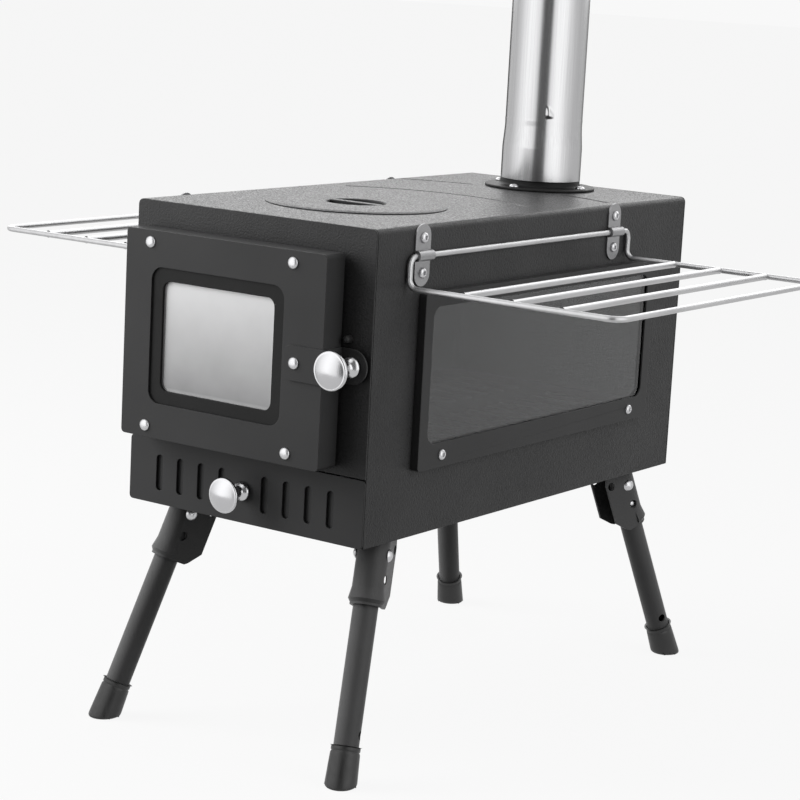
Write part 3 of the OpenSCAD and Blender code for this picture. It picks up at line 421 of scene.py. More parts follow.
FLUE_STEEL = streaked_steel("rolled_flue_steel", (0.40, 0.40, 0.405), (0.45, 0.45, 0.455),
                            0.15, 0.21, (1, 1, 120), 0.06)
WIRE_STEEL = streaked_steel("bright_wire", (0.40, 0.40, 0.405), (0.47, 0.47, 0.475),
                            0.34, 0.42, (1, 8, 1), 0.03, 6)
CLIP_STEEL = streaked_steel("tumbled_clip_steel", (0.24, 0.24, 0.245), (0.33, 0.33, 0.335),
                            0.34, 0.46, (1, 1, 1), 0.25)
SCREW_STEEL = streaked_steel("bright_zinc", (0.46, 0.46, 0.47), (0.54, 0.54, 0.55),
                             0.26, 0.34, (1, 1, 1), 0.05)
print("steels:", [steel.name for steel in (FLUE_STEEL, WIRE_STEEL, CLIP_STEEL, SCREW_STEEL)])

# %% [markdown]
# A turned knob keeps the lathe's fine rings even after polishing. The distance from the axis was
# stored on every turned piece, and a sine of that distance gives the rings.

# %% Turned and polished steel
TURNED_STEEL = finish_named("turned_polished_steel", Metallic=1.0, Base_Color=(0.48, 0.48, 0.49, 1))
marks = added(TURNED_STEEL, "ShaderNodeAttribute", attribute_name="from_axis")
RING_PITCH = 1.4
turns = added(TURNED_STEEL, "ShaderNodeMath", operation="MULTIPLY")
turns.inputs[1].default_value = 2 * pi / (RING_PITCH * MM)
rings = added(TURNED_STEEL, "ShaderNodeMath", operation="SINE")
linked(TURNED_STEEL, marks.outputs["Fac"], turns.inputs[0])
linked(TURNED_STEEL, turns.outputs[0], rings.inputs[0])
raised(TURNED_STEEL, rings.outputs[0], 0.006, 0.3)
roughened(TURNED_STEEL, grain(TURNED_STEEL, 3), 0.19, 0.27)
print("turning marks every", RING_PITCH, "mm")

# %% [markdown]
# The side panes are clear stove glass with a faint grey body. The door's pane looks pale in the photograph
# and lighter towards the top, so it gets a milky base that fades downwards and a clear coat over it.
# A painted highlight, a lighter band in that base colour, runs along the pane's rim.

# %% Glass
PANE_GLASS = finish_named("clear_stove_glass", Transmission_Weight=1.0, IOR=1.40,
                          Base_Color=(0.62, 0.63, 0.64, 1))
roughened(PANE_GLASS, grain(PANE_GLASS, 60), 0.03, 0.08)

# the second number is how much the painted rim highlight lightens the pane's base colour
CLOUDING, PAINTED_RIM_HIGHLIGHT = 0.16, 0.22
RIM_FROM, RIM_TO = 5.5, 3.5  # millimetres from the pane's edge where the painted rim highlight starts and is full
pane_low, pane_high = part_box("door_glass")
PANE_WITH_PAINTED_RIM = finish_named("door_pane_with_painted_rim", IOR=1.5, Coat_Weight=0.6, Coat_Roughness=0.05)
place = added(PANE_WITH_PAINTED_RIM, "ShaderNodeTexCoord")
heights = added(PANE_WITH_PAINTED_RIM, "ShaderNodeSeparateXYZ")
linked(PANE_WITH_PAINTED_RIM, place.outputs["Object"], heights.inputs["Vector"])
rise = spread(PANE_WITH_PAINTED_RIM, heights.outputs["Z"], 0.0, 1.0, pane_low.z, pane_high.z)
clouds = added(PANE_WITH_PAINTED_RIM, "ShaderNodeMath", operation="MULTIPLY_ADD")
clouds.inputs[1].default_value = CLOUDING
linked(PANE_WITH_PAINTED_RIM, grain(PANE_WITH_PAINTED_RIM, 22, detail=2), clouds.inputs[0])
linked(PANE_WITH_PAINTED_RIM, rise, clouds.inputs[2])
# painted highlight: a lighter band in the base colour along the pane's rim
painted_rim_band = added(PANE_WITH_PAINTED_RIM, "ShaderNodeMath", operation="MAXIMUM")
for i, axis in enumerate(("X", "Z")):
    middle = (pane_low[2 * i] + pane_high[2 * i]) / 2
    half = (pane_high[2 * i] - pane_low[2 * i]) / 2
    away = added(PANE_WITH_PAINTED_RIM, "ShaderNodeMath", operation="SUBTRACT")
    away.inputs[1].default_value = middle
    distance = added(PANE_WITH_PAINTED_RIM, "ShaderNodeMath", operation="ABSOLUTE")
    linked(PANE_WITH_PAINTED_RIM, heights.outputs[axis], away.inputs[0])
    linked(PANE_WITH_PAINTED_RIM, away.outputs[0], distance.inputs[0])
    edge = spread(PANE_WITH_PAINTED_RIM, distance.outputs[0], 0.0, PAINTED_RIM_HIGHLIGHT,
                  half - RIM_FROM * MM, half - RIM_TO * MM)
    linked(PANE_WITH_PAINTED_RIM, edge, painted_rim_band.inputs[i])
base_with_painted_rim = added(PANE_WITH_PAINTED_RIM, "ShaderNodeMath", operation="ADD")
linked(PANE_WITH_PAINTED_RIM, clouds.outputs[0], base_with_painted_rim.inputs[0])
linked(PANE_WITH_PAINTED_RIM, painted_rim_band.outputs[0], base_with_painted_rim.inputs[1])
tinted(PANE_WITH_PAINTED_RIM, base_with_painted_rim.outputs[0], (0.13, 0.13, 0.133), (0.68, 0.68, 0.685), 0.0, 1.0)
roughened(PANE_WITH_PAINTED_RIM, grain(PANE_WITH_PAINTED_RIM, 9), 0.30, 0.42)
print("door pane", [round(size / MM, 1) for size in pane_high - pane_low], "mm")

# %% [markdown]
# Glass rope is braided, and its strands cross at a slant: two bands at opposite slants give that
# relief. Rubber feet close the list.

# %% Rope and rubber
STRAND_SCALE = 260
ROPE = finish_named("braided_glass_rope", Roughness=0.9, Sheen_Weight=0.2)
tinted(ROPE, grain(ROPE, 2), (0.10, 0.10, 0.098), (0.20, 0.195, 0.19))
slants = []
for slant in (1, -1):
    place = added(ROPE, "ShaderNodeTexCoord")
    mapping = added(ROPE, "ShaderNodeMapping")
    mapping.inputs["Rotation"].default_value = (0, slant * pi / 4, slant * pi / 4)
    wave = added(ROPE, "ShaderNodeTexWave", wave_type="BANDS")
    wave.inputs["Scale"].default_value = STRAND_SCALE
    linked(ROPE, place.outputs["Object"], mapping.inputs["Vector"])
    linked(ROPE, mapping.outputs["Vector"], wave.inputs["Vector"])
    slants.append(wave.outputs["Fac"])
first = raised(ROPE, slants[0], 0.4, 0.6)
raised(ROPE, slants[1], 0.4, 0.6, first)

RUBBER = finish_named("foot_rubber", Metallic=0.0)
tinted(RUBBER, grain(RUBBER, 8), (0.006, 0.006, 0.006), (0.010, 0.010, 0.010))
roughened(RUBBER, grain(RUBBER, 4), 0.36, 0.50)
raised(RUBBER, grain(RUBBER, 0.8), 0.03, 0.5)
print(len(bpy.data.materials), "materials")

# %% [markdown]
# ## The folded sheets
# These sheets have the right shape already. Each gets rounded edges of a size that suits its own
# sheet, and the coat. The shell's fold along the top has its radius from the press brake.

# %% Firebox sheets
SHEETS = [
    ("body_shell", "stove_body", 0.3, BODY_COAT), ("front_panel", "stove_body", 0.45, BODY_COAT),
    ("back_panel", "stove_body", 0.45, BODY_COAT), ("base_pan", "stove_body", 0.3, BODY_COAT),
    ("drawer_runners", "stove_body", 0.3, BODY_COAT), ("fire_grate", "stove_body", 0.3, BODY_COAT),
    ("side_frame_left", "stove_body", 0.6, DOOR_COAT), ("side_frame_right", "stove_body", 0.6, DOOR_COAT),
    ("door_pan", "door", 0.35, DOOR_COAT), ("door_retainer", "door", 0.3, DOOR_COAT),
    ("latch_strap", "door", 0.35, DOOR_COAT), ("drawer_front", "drawer", 0.45, DOOR_COAT),
    ("ash_tray", "drawer", 0.25, DOOR_COAT),
]
for node, body, ease, coat in SHEETS:
    sheet = eased(node, node + "_sheet", ease)
    coated(sheet, coat)
    fitted(sheet, body, "black_coat", node)

# %% [markdown]
# The tray has a front wall of its own, which shows through the slots as a grey floor close behind
# them. In the picture it nearly touches the drawer front, so here it is carried forward by most of
# the room that the knob's screw head needs, and the screw head then stands through it.

# %% Bring the tray's front wall up to the slots
WALL_NEAR, WALL_FAR, WALL_MOVE = 1.5, 4.2, 1.9
tray = bpy.data.objects["ash_tray_sheet"]
tray_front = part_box("ash_tray")[0].y
edit(tray)
bpy.ops.mesh.select_all(action="DESELECT")
done()
for point in tray.data.vertices:
    point.select = WALL_NEAR * MM < point.co.y - tray_front < WALL_FAR * MM
print("tray wall points", sum(point.select for point in tray.data.vertices))
edit(tray)
bpy.ops.transform.translate(value=(0, -WALL_MOVE * MM, 0))
bpy.ops.mesh.select_all(action="DESELECT")
done()

# %% [markdown]
# The window border in the door, the hinge parts and the leg brackets are pressed from sheet too.
# The border carries the darker heat paint, and the brackets share the legs' finish.

# %% Border, hinges and brackets
PRESSED = [("door_border", "door", 0.5, TRIM_COAT), ("door_hinge_lugs", "stove_body", 0.2, BODY_COAT),
           ("door_hinge_ears", "door", 0.2, BODY_COAT)]
for node, body, ease, coat in PRESSED:
    pressed = eased(node, node + "_sheet", ease)
    coated(pressed, coat)
    fitted(pressed, body, "dark_coat" if coat is TRIM_COAT else "black_coat", node)
CORNERS = {"fl": (-1, -1), "fr": (1, -1), "bl": (-1, 1), "br": (1, 1)}
for corner in CORNERS:
    bracket = eased("leg_bracket_" + corner, "leg_bracket_" + corner + "_sheet", 0.3, clamp=True)
    coated(bracket, LEG_COAT)
    fitted(bracket, "stove_body", "black_coat", "leg_bracket_" + corner)

# %% [markdown]
# ## The flue pipe
# A flue section is rolled from sheet, closed with a lap seam and swaged at its lower end, so that
# it slips over the spigot. It is turned ring by ring, with a shallow bead above the wide end. The seam
# is a strip of faces that is extruded outwards at the back, and the small stop above the bead is pushed
# out column by column, highest at its cut edge, as a punch would leave it.

# %% Turn the pipe
pipe_low, pipe_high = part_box("flue_pipe")
PIPE_AXIS = Vector(((pipe_low.x + pipe_high.x) / 2, (pipe_low.y + pipe_high.y) / 2, pipe_low.z))
PIPE_LENGTH = (pipe_high.z - pipe_low.z) / MM
SOCKET_R = (pipe_high.x - pipe_low.x) / 2 / MM
PIPE_WALL = 0.8
PIPE_R = SOCKET_R - PIPE_WALL - 0.3
pipe_rings = [
    (SOCKET_R, 0), (SOCKET_R, 1), (SOCKET_R, 24), (SOCKET_R - 0.08, 25.6), (SOCKET_R - 0.25, 27.6),
    (SOCKET_R - 0.5, 31), (SOCKET_R - 0.8, 35), (PIPE_R + 0.12, 38.5), (PIPE_R, 40.5), (PIPE_R, 41.4),
    (PIPE_R + 0.05, 43), (PIPE_R + 0.11, 44.8), (PIPE_R + 0.13, 45.4), (PIPE_R + 0.1, 45.8),
    (PIPE_R + 0.03, 46.3), (PIPE_R, 46.8)]
STOP_HEIGHTS = (47.9, 49, 50.5, 52, 53.5, 55, 56.5, 57.5)
pipe_rings += [(PIPE_R, height) for height in (*STOP_HEIGHTS, 60, 120, 180, 240, 300)]
pipe_rings += [(PIPE_R, PIPE_LENGTH - 1.5), (PIPE_R - 0.15, PIPE_LENGTH)]
PIPE_SIDES = 144
pipe = turned("flue_pipe_section", pipe_rings, PIPE_SIDES, 50)
print("pipe", round(PIPE_LENGTH), "mm long,", round(2 * PIPE_R, 1), "mm across")


# %% Stop and seam
def around(point):
    """Degrees round the z axis, 0 towards the door and 90 towards the right."""
    return atan2(point.x, -point.y) * 180 / pi


STEP = 360 / PIPE_SIDES
STOP_LOW, SEAM_HEIGHT = 48, 0.55
STOP_COLUMNS = [(35.0, 1.9, 56), (37.5, 1.6, 55), (40.0, 1.25, 54), (42.5, 0.9, 53), (45.0, 0.5, 52)]
for turn, proud, top in STOP_COLUMNS:
    for point in pipe.data.vertices:
        height = point.co.z / MM
        point.select = abs(around(point.co) - turn) < STEP / 2 and STOP_LOW < height < top
    edit(pipe)
    push = Vector((sin(radians(turn)), -cos(radians(turn)), 0)) * proud * MM
    bpy.ops.transform.translate(value=push)
    bpy.ops.mesh.select_all(action="DESELECT")
    done()

SEAM_HALF = 3 * STEP
edit(pipe, "FACE")
bpy.ops.mesh.select_all(action="DESELECT")
done()
for face in pipe.data.polygons:
    face.select = abs(abs(around(face.center)) - 180) < SEAM_HALF
edit(pipe, "FACE")
bpy.ops.mesh.extrude_region_shrink_fatten(TRANSFORM_OT_shrink_fatten={"value": SEAM_HEIGHT * MM})
bpy.ops.mesh.select_all(action="DESELECT")
done()
modify(pipe, "SOLIDIFY", thickness=PIPE_WALL * MM, offset=-1, use_even_offset=True)
smooth(pipe, 50)
coated(pipe, FLUE_STEEL)
pipe.data.transform(Matrix.Translation(PIPE_AXIS))
fitted(pipe, "pipe", "stainless", "flue_pipe")

# %% [markdown]
# ## Collar and cooking lid
# The flue collar is one turned part: a flange on the top sheet, a short seat that the pipe stands
# on, and the spigot inside the pipe. The lid is a steel disc with a locating ring below and a dish
# in its middle. Both are closed sections, so their last ring meets their first.

# %% Collar
COLLAR_AT = Vector((PIPE_AXIS.x, PIPE_AXIS.y, TOP_Z))
SPIGOT_TOP = (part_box("flue_collar")[1].z - TOP_Z) / MM
SPIGOT_DROP = (TOP_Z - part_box("flue_collar")[0].z) / MM
FLANGE_R = (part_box("flue_collar")[1].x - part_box("flue_collar")[0].x) / 2 / MM
collar = turned("flue_collar_turned", [
    (PIPE_R - 1.2, -SPIGOT_DROP), (PIPE_R, -SPIGOT_DROP), (PIPE_R, 0), (FLANGE_R - 0.5, 0), (FLANGE_R, 0.5),
    (FLANGE_R, 1.5), (FLANGE_R - 0.5, 2), (33.4, 2), (31.9, 2.3), (30.9, 3), (SOCKET_R, 4.2),
    (SOCKET_R, 6.4), (SOCKET_R - 0.5, 7), (PIPE_R, 7), (PIPE_R, SPIGOT_TOP - 0.6),
    (PIPE_R - 0.4, SPIGOT_TOP), (PIPE_R - 1.2, SPIGOT_TOP), (PIPE_R - 1.2, -SPIGOT_DROP)], 120, 50)
coated(collar, TRIM_COAT)
collar.data.transform(Matrix.Translation(COLLAR_AT))
fitted(collar, "stove_body", "dark_coat", "flue_collar")

# %% Lid
lid_low, lid_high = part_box("cooking_lid")
LID_R = (lid_high.x - lid_low.x) / 2 / MM
LID_T = (lid_high.z - TOP_Z) / MM
DISH_DEPTH = (TOP_Z - lid_low.z) / MM
DISH_R = (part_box("lid_lift_bar")[1].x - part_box("lid_lift_bar")[0].x) / 2 / MM
RING_R = LID_R - 4.5
lid = turned("cooking_lid_turned", [
    (DISH_R + 1.5, -DISH_DEPTH), (DISH_R + 1.5, -0.8), (DISH_R + 2.3, 0), (RING_R - 1.5, 0),
    (RING_R - 1.5, -3), (RING_R, -3), (RING_R, 0), (LID_R - 0.3, 0), (LID_R, 0.2), (LID_R, 0.5),
    (LID_R - 0.3, 0.75), (LID_R - 2.6, LID_T - 0.2), (LID_R - 3.6, LID_T - 0.05),
    (LID_R - 5, LID_T), (DISH_R + 1.4, LID_T), (DISH_R + 0.5, LID_T - 0.3), (DISH_R, LID_T - 1.1),
    (DISH_R, 2.4 - DISH_DEPTH), (DISH_R - 0.9, 1.5 - DISH_DEPTH), (0, 1.5 - DISH_DEPTH)],
    144, 50, closed=True)
coated(lid, BODY_COAT)
LID_AT = Vector(((lid_low.x + lid_high.x) / 2, (lid_low.y + lid_high.y) / 2, TOP_Z))
lid.data.transform(Matrix.Translation(LID_AT))
fitted(lid, "lid", "black_coat", "cooking_lid")
bar = eased("lid_lift_bar", "lid_lift_bar_eased", 0.4)
coated(bar, BODY_COAT)
fitted(bar, "lid", "black_coat", "lid_lift_bar")

# %% [markdown]
# ## Knobs
# Both knobs are turned from bar: a round foot, a thin neck and a broad head with a fine groove
# inside its rim and a shallow dome. The drawer's knob is a little smaller than the latch's, so the
# outline is kept as shares of a knob's own radius and length.

# %% Turn the knobs
KNOB_SHAPE = [
    (0.46, 0), (0.53, 0.012), (0.56, 0.045), (0.555, 0.08), (0.52, 0.115), (0.44, 0.15), (0.35, 0.175),
    (0.29, 0.21), (0.265, 0.26), (0.26, 0.34), (0.26, 0.44), (0.275, 0.52), (0.32, 0.585), (0.40, 0.64),
    (0.53, 0.69), (0.70, 0.73), (0.86, 0.757), (0.95, 0.775), (0.985, 0.795), (1.0, 0.82), (1.0, 0.84),
    (0.985, 0.865), (0.95, 0.882), (0.915, 0.886), (0.89, 0.883), (0.865, 0.888), (0.80, 0.905),
    (0.68, 0.932), (0.52, 0.960), (0.34, 0.983), (0.16, 0.997), (0, 1.0)]
for node, body in (("latch_knob", "latch"), ("drawer_knob", "drawer")):
    low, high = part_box(node)
    knob_r, knob_length = (high.x - low.x) / 2 / MM, (high.y - low.y) / MM
    outline = [(radius * knob_r, height * knob_length) for radius, height in KNOB_SHAPE]
    knob = turned(node + "_turned", outline, 96, 60, closed=True)
    coated(knob, TURNED_STEEL)
    aimed(knob, Vector(((low.x + high.x) / 2, high.y, (low.z + high.z) / 2)), (0, -1, 0))
    fitted(knob, body, "polished", node)

# %% [markdown]
# ## Rivets and screws
# A rivet is a domed head on a shank, with a spread tail inside. A screw has a pan head with a
# hexagon socket, which a Boolean modifier cuts. One of each is made and copied to every place.

# %% Rivets
RIVET_HEAD_R, RIVET_HEAD_H = 4.0, 2.0


def rivet(name, reach):
    """A rivet whose head stands on z = 0 and whose shank goes down by its reach."""
    return turned(name, [
        (2.3, -reach), (2.6, 0.5 - reach), (2.5, 1 - reach), (2.0, 1.1 - reach), (2.0, 0),
        (RIVET_HEAD_R, 0), (RIVET_HEAD_R, 0.3), (3.82, 0.75), (3.4, 1.2), (2.75, 1.6), (1.95, 1.85),
        (1.0, 1.97), (0, RIVET_HEAD_H)],
        48, 60, closed=True)


def placed_copies(piece, name, places, direction):
    """One piece made of a copy at each place."""
    copies = [aimed(copied(piece, name, Vector((0, 0, 0))), place, direction) for place in places]
    bpy.data.objects.remove(piece)
    return joined(copies, name)


low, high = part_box("door_rivets")
door_skin = low.y + RIVET_HEAD_H * MM
reach = (high.y - door_skin) / MM
inset = RIVET_HEAD_R * MM
places = [Vector((x, door_skin, z))
          for x in (low.x + inset, high.x - inset) for z in (low.z + inset, high.z - inset)]
door_rivets = placed_copies(rivet("rivet", reach), "door_rivets_domed", places, (0, -1, 0))
coated(door_rivets, SCREW_STEEL)
fitted(door_rivets, "door", "polished", "door_rivets")

low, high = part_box("latch_rivet")
strap_skin = low.y + RIVET_HEAD_H * MM
latch_rivet = rivet("latch_rivet_domed", (high.y - strap_skin) / MM)
aimed(latch_rivet, Vector(((low.x + high.x) / 2, strap_skin, (low.z + high.z) / 2)), (0, -1, 0))
coated(latch_rivet, SCREW_STEEL)
fitted(latch_rivet, "door", "polished", "latch_rivet")


# %% Screws
SCREW_HEAD_R, SCREW_HEAD_H, SOCKET_ACROSS = 3.6, 2.2, 3.4


def socket_screw(name, reach):
    """A pan head screw whose head stands on z = 0 and whose shank goes down by its reach."""
    screw = turned(name, [
        (1.4, -reach), (1.75, 0.4 - reach), (1.75, 0), (3.45, 0), (SCREW_HEAD_R, 0.2), (SCREW_HEAD_R, 0.6),
        (3.4, 1.15), (3.0, 1.65), (2.5, 1.98), (2.2, 2.1), (1.9, 2.18), (0, SCREW_HEAD_H)],
        36, 50, closed=True)
    bpy.ops.object.select_all(action="DESELECT")
    bpy.ops.mesh.primitive_cylinder_add(vertices=6, radius=SOCKET_ACROSS / 2 * MM, depth=2.6 * MM,
                                        location=(0, 0, SCREW_HEAD_H * MM))
    cutter = bpy.context.active_object
    modify(screw, "BOOLEAN", operation="DIFFERENCE", object=cutter, solver="EXACT")
    bpy.data.objects.remove(cutter)
    smooth(screw, 40)
    return screw


SCREWS = [  # node, piece, how far the seat stands off the body's side, reach
    ("side_frame_screws", "side_frame_screws_pan", 6.0, 9.0),
    ("rack_clip_screws", "rack_clip_screws_pan", 1.5, 4.5),
]
for node, name, stand, reach in SCREWS:
    low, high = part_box(node)
    inset = SCREW_HEAD_R * MM
    halves = []
    for side in (-1, 1):
        heights = sorted({round(low.z + inset, 5), round(high.z - inset, 5)})
        places = [Vector((side * (HALF_W + stand * MM), y, z))
                  for y in (low.y + inset, high.y - inset) for z in heights]
        halves.append(placed_copies(socket_screw("screw", reach), name, places, (side, 0, 0)))
    screws = joined(halves, name)
    coated(screws, SCREW_STEEL)
    fitted(screws, "stove_body", "polished", node)

FLANGE_SCREW_R = 36.25
places = [COLLAR_AT + Vector((x * FLANGE_SCREW_R * MM, y * FLANGE_SCREW_R * MM, 2 * MM))
          for x, y in ((1, 0), (0, 1), (-1, 0), (0, -1))]
flange_screws = placed_copies(socket_screw("screw", 5.0), "flue_screws_pan", places, (0, 0, 1))
coated(flange_screws, SCREW_STEEL)
fitted(flange_screws, "stove_body", "polished", "flue_screws")

# %% [markdown]
# ## Racks
# Each rack is one bright wire that is bent into a closed loop: the pivot wire under the clips, a
# crank at each end, two arms and the outer bar. Three bars cross it, and each is welded at both
# ends. The loop is a curve with a round section, which is made a mesh. A bar's welds are turned
# collars that flare where they meet the arm, as a fillet of weld does.

# %% Bend the wire
WIRE_R = 2.0
ROD_X, ROD_Z, CRANK_DROP = 102.3, 188.5, 20.5
RACK_Y, RACK_HALF, RACK_OUT = 173.0, 138.5, 259.0
CRANK_BEND, CORNER_BEND = 6.0, 9.0
BAR_XS = (143.0, 180.0, 217.0)
BEND_STEPS = 8


def rounded_path(corners, radii):
    """The points of a closed path whose corners are replaced by arcs."""
    points = []
    for i, corner in enumerate(corners):
        corner = Vector(corner)
        before = (Vector(corners[i - 1]) - corner).normalized()
        after = (Vector(corners[(i + 1) % len(corners)]) - corner).normalized()
        centre = corner + (before + after) * radii[i]
        for step in range(BEND_STEPS + 1):
            turn = step / BEND_STEPS * pi / 2
            points.append(centre - after * radii[i] * cos(turn) - before * radii[i] * sin(turn))
    return points


def rack_points():
    """The right rack's loop, from its pivot wire out to the outer bar and back."""
    front, back, low_z = RACK_Y - RACK_HALF, RACK_Y + RACK_HALF, ROD_Z - CRANK_DROP
    corners = [(ROD_X, back, ROD_Z), (ROD_X, back, low_z), (RACK_OUT, back, low_z),
               (RACK_OUT, front, low_z), (ROD_X, front, low_z), (ROD_X, front, ROD_Z)]
    radii = [CRANK_BEND, CRANK_BEND, CORNER_BEND, CORNER_BEND, CRANK_BEND, CRANK_BEND]
    return [on_stove(*point) for point in rounded_path(corners, radii)]


def bent_wire(name, points):
    """A round wire bent to a closed loop along points, as a mesh."""
    bpy.ops.object.select_all(action="DESELECT")
    bpy.ops.curve.primitive_nurbs_path_add()
    wire = bpy.context.active_object
    wire.name = name
    wire.data.splines.clear()
    spline = wire.data.splines.new("POLY")
    spline.points.add(len(points) - 1)
    for point, place in zip(spline.points, points):
        point.co = (*place, 1)
    spline.use_cyclic_u = True
    wire.data.bevel_depth = WIRE_R * MM
    wire.data.bevel_resolution = 6
    wire.data.use_fill_caps = True
    bpy.ops.object.convert(target="MESH")
    wire = bpy.context.active_object
    smooth(wire, 40)
    return wire


# %% Bars and welds
BAR_R, WELD_RUN, WELD_R = 2.3, 2.6, 2.55
bar_length = 2 * RACK_HALF - 2 * WIRE_R + 0.6
half = bar_length / 2
bar_rings = [(WELD_R, -half), (WELD_R - 0.2, 0.7 - half), (BAR_R + 0.15, 1.6 - half),
             (BAR_R, WELD_RUN - half)]
bar_rings += [(BAR_R, 0)]
bar_rings += [(radius, -height) for radius, height in reversed(bar_rings[:-1])]


def rack_wires(name):
    """The right rack: the loop and its three bars."""
    loop = bent_wire(name, rack_points())
    parts = [loop]
    for x in BAR_XS:
        rack_bar = turned(name + "_bar", bar_rings, 28, 50)
        parts.append(aimed(rack_bar, on_stove(x, RACK_Y, ROD_Z - CRANK_DROP), (0, 1, 0)))
    return joined(parts, name)


rack_right = rack_wires("rack_right_wire")
coated(rack_right, WIRE_STEEL)


def mirrored(piece, name):
    """A copy on the other side of the stove, with its faces turned outwards again."""
    twin = copied(piece, name, Vector((0, 0, 0)))
    twin.data.transform(Matrix.Scale(-1, 4, (1, 0, 0)))
    twin.data.flip_normals()
    return twin


rack_left = mirrored(rack_right, "rack_left_wire")
for piece, side in ((rack_right, "rack_right"), (rack_left, "rack_left")):
    fitted(piece, side, "stainless", side)

# %% [markdown]
# The clips that hold the pivot wires are pressed from strip. The construction model has their bend
# over the wire already, so they are copied with eased edges, as the other sheets are.

# %% Clips
clips = eased("rack_clips", "rack_clips_pressed", 0.3)
coated(clips, CLIP_STEEL)
fitted(clips, "stove_body", "stainless", "rack_clips")

# %% [markdown]
# ## Feet
# A rubber cap is pushed on each leg. It flares towards the ground and is cut level with it, because
# the legs lean. It is turned along the leg, with a fine groove below its mouth, then bisected at the
# ground, and its lower rim is beveled round.

# %% Caps
LEAN, TURN = radians(22), radians(22)
PIVOT_X, PIVOT_Y, PIVOT_DROP = 82.0, 161.5, 12.5
BODY_MID_Y, RIM_EASE = 200.0, 2.2
LEG_LENGTH = (BASE_Z / MM - PIVOT_DROP) / cos(LEAN)
FOOT_LENGTH = 26.0
for corner, (sx, sy) in CORNERS.items():
    cap = turned("leg_foot_" + corner + "_cap", [
        (8.5, FOOT_LENGTH + 4 - 8), (8.5, FOOT_LENGTH), (9.3, FOOT_LENGTH), (9.75, FOOT_LENGTH - 0.5),
        (9.8, FOOT_LENGTH - 1.2), (9.8, FOOT_LENGTH - 2.8), (9.35, FOOT_LENGTH - 3.2),
        (9.35, FOOT_LENGTH - 3.7), (9.85, FOOT_LENGTH - 4.3), (10.0, FOOT_LENGTH - 6),
        (10.25, 14), (10.5, 8), (10.7, 3), (10.8, 0), (10.8, -8), (0, -8)], 64, 50, closed=True)
    leg_down = Vector((sx * sin(LEAN) * sin(TURN), sy * sin(LEAN) * cos(TURN), -cos(LEAN)))
    pivot = on_stove(sx * PIVOT_X, BODY_MID_Y + sy * PIVOT_Y, -PIVOT_DROP)
    aimed(cap, pivot + leg_down * LEG_LENGTH * MM, -leg_down)
    edit(cap)
    bpy.ops.mesh.select_all(action="SELECT")
    bpy.ops.mesh.bisect(plane_co=(0, 0, 0), plane_no=(0, 0, 1), use_fill=True, clear_inner=True)
    done()
    modify(cap, "BEVEL", width=RIM_EASE * MM, segments=5, limit_method="ANGLE", angle_limit=radians(55),
           use_clamp_overlap=False)
    smooth(cap, 40)
    coated(cap, RUBBER)
    fitted(cap, "leg_" + corner, "foot_cap", "leg_foot_" + corner)

# %% [markdown]
# ## What stays as it is
# Glass panes, seals, legs, lock balls and the latch's inner parts have their final shape in the
# construction model, so they only get their finishes.

# %% Finishes for the remaining nodes
KEPT_FINISHES = {
    "side_glass_left": PANE_GLASS, "side_glass_right": PANE_GLASS, "door_glass": PANE_WITH_PAINTED_RIM,
    "side_gasket_left": ROPE, "side_gasket_right": ROPE, "door_gasket": ROPE,
    "door_hinge_pins": SCREW_STEEL, "latch_spindle": SCREW_STEEL, "latch_stop_stud": BODY_COAT,
    "drawer_knob_screw": SCREW_STEEL, "leg_pivot_rivets": SCREW_STEEL, "leg_bracket_rivets": CLIP_STEEL,
}
for corner in CORNERS:
    KEPT_FINISHES["leg_tube_" + corner] = LEG_COAT
    KEPT_FINISHES["leg_lock_" + corner] = SCREW_STEEL
for node, finish in KEPT_FINISHES.items():
    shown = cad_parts[node]
    for used in shown.material_slots:
        used.material = finish
    if not shown.material_slots:
        shown.data.materials.append(finish)
print(len(KEPT_FINISHES), "nodes keep their shape")

# %% [markdown]
# ## Light and ground
# The photograph was lit from both sides, which leaves the strip beside the door in the door's own
# shadow. The bright metal shows the rest of the studio: two tall soft boxes that fade at their
# edges, a dark gap between them where the camera stood, and a pale wall behind. The lamps give the
# light on the matte parts, and a round wall that only reflections see gives the mirrored studio.


# %% Lamps
def lamp(name, place, aim, width, height, watts):
    """A soft box at a place, aimed at another, with its sides in metres."""
    bpy.ops.object.select_all(action="DESELECT")
    bpy.ops.object.light_add(type="AREA", location=place)
    light = bpy.context.active_object
    light.name = name
    light.data.shape = "RECTANGLE"
    light.data.size, light.data.size_y = width, height
    light.data.energy = watts
    light.rotation_euler = (Vector(aim) - Vector(place)).to_track_quat("-Z", "Y").to_euler()
    light.visible_camera = light.visible_glossy = False


def round_stove(turn, distance, height):
    """A place round the stove, at degrees from straight in front of the door towards the right."""
    return Vector((distance * sin(radians(turn)), -distance * cos(radians(turn)), height))


AIM_HEIGHT = 0.3
lamp("left_lamp", round_stove(-55, 1.5, 0.85), (0, 0, AIM_HEIGHT), 1.0, 1.5, 43)
lamp("right_lamp", round_stove(96, 1.5, 0.85), (0, 0, AIM_HEIGHT), 1.0, 1.6, 12.5)
lamp("top_lamp", (0.1, 0.25, 2.1), (0, 0, AIM_HEIGHT), 1.6, 1.6, 9)
print("three lamps, aimed", AIM_HEIGHT, "m above the ground")

# %% [markdown]
# The mirrored studio is a round wall about the flue's axis. Its brightness at each turn is stored on
# its points: the two soft boxes, the dark gap and the pale wall are stops in one list. Behind the
# stove its upper part is brighter, which is what the top sheet mirrors towards the camera.

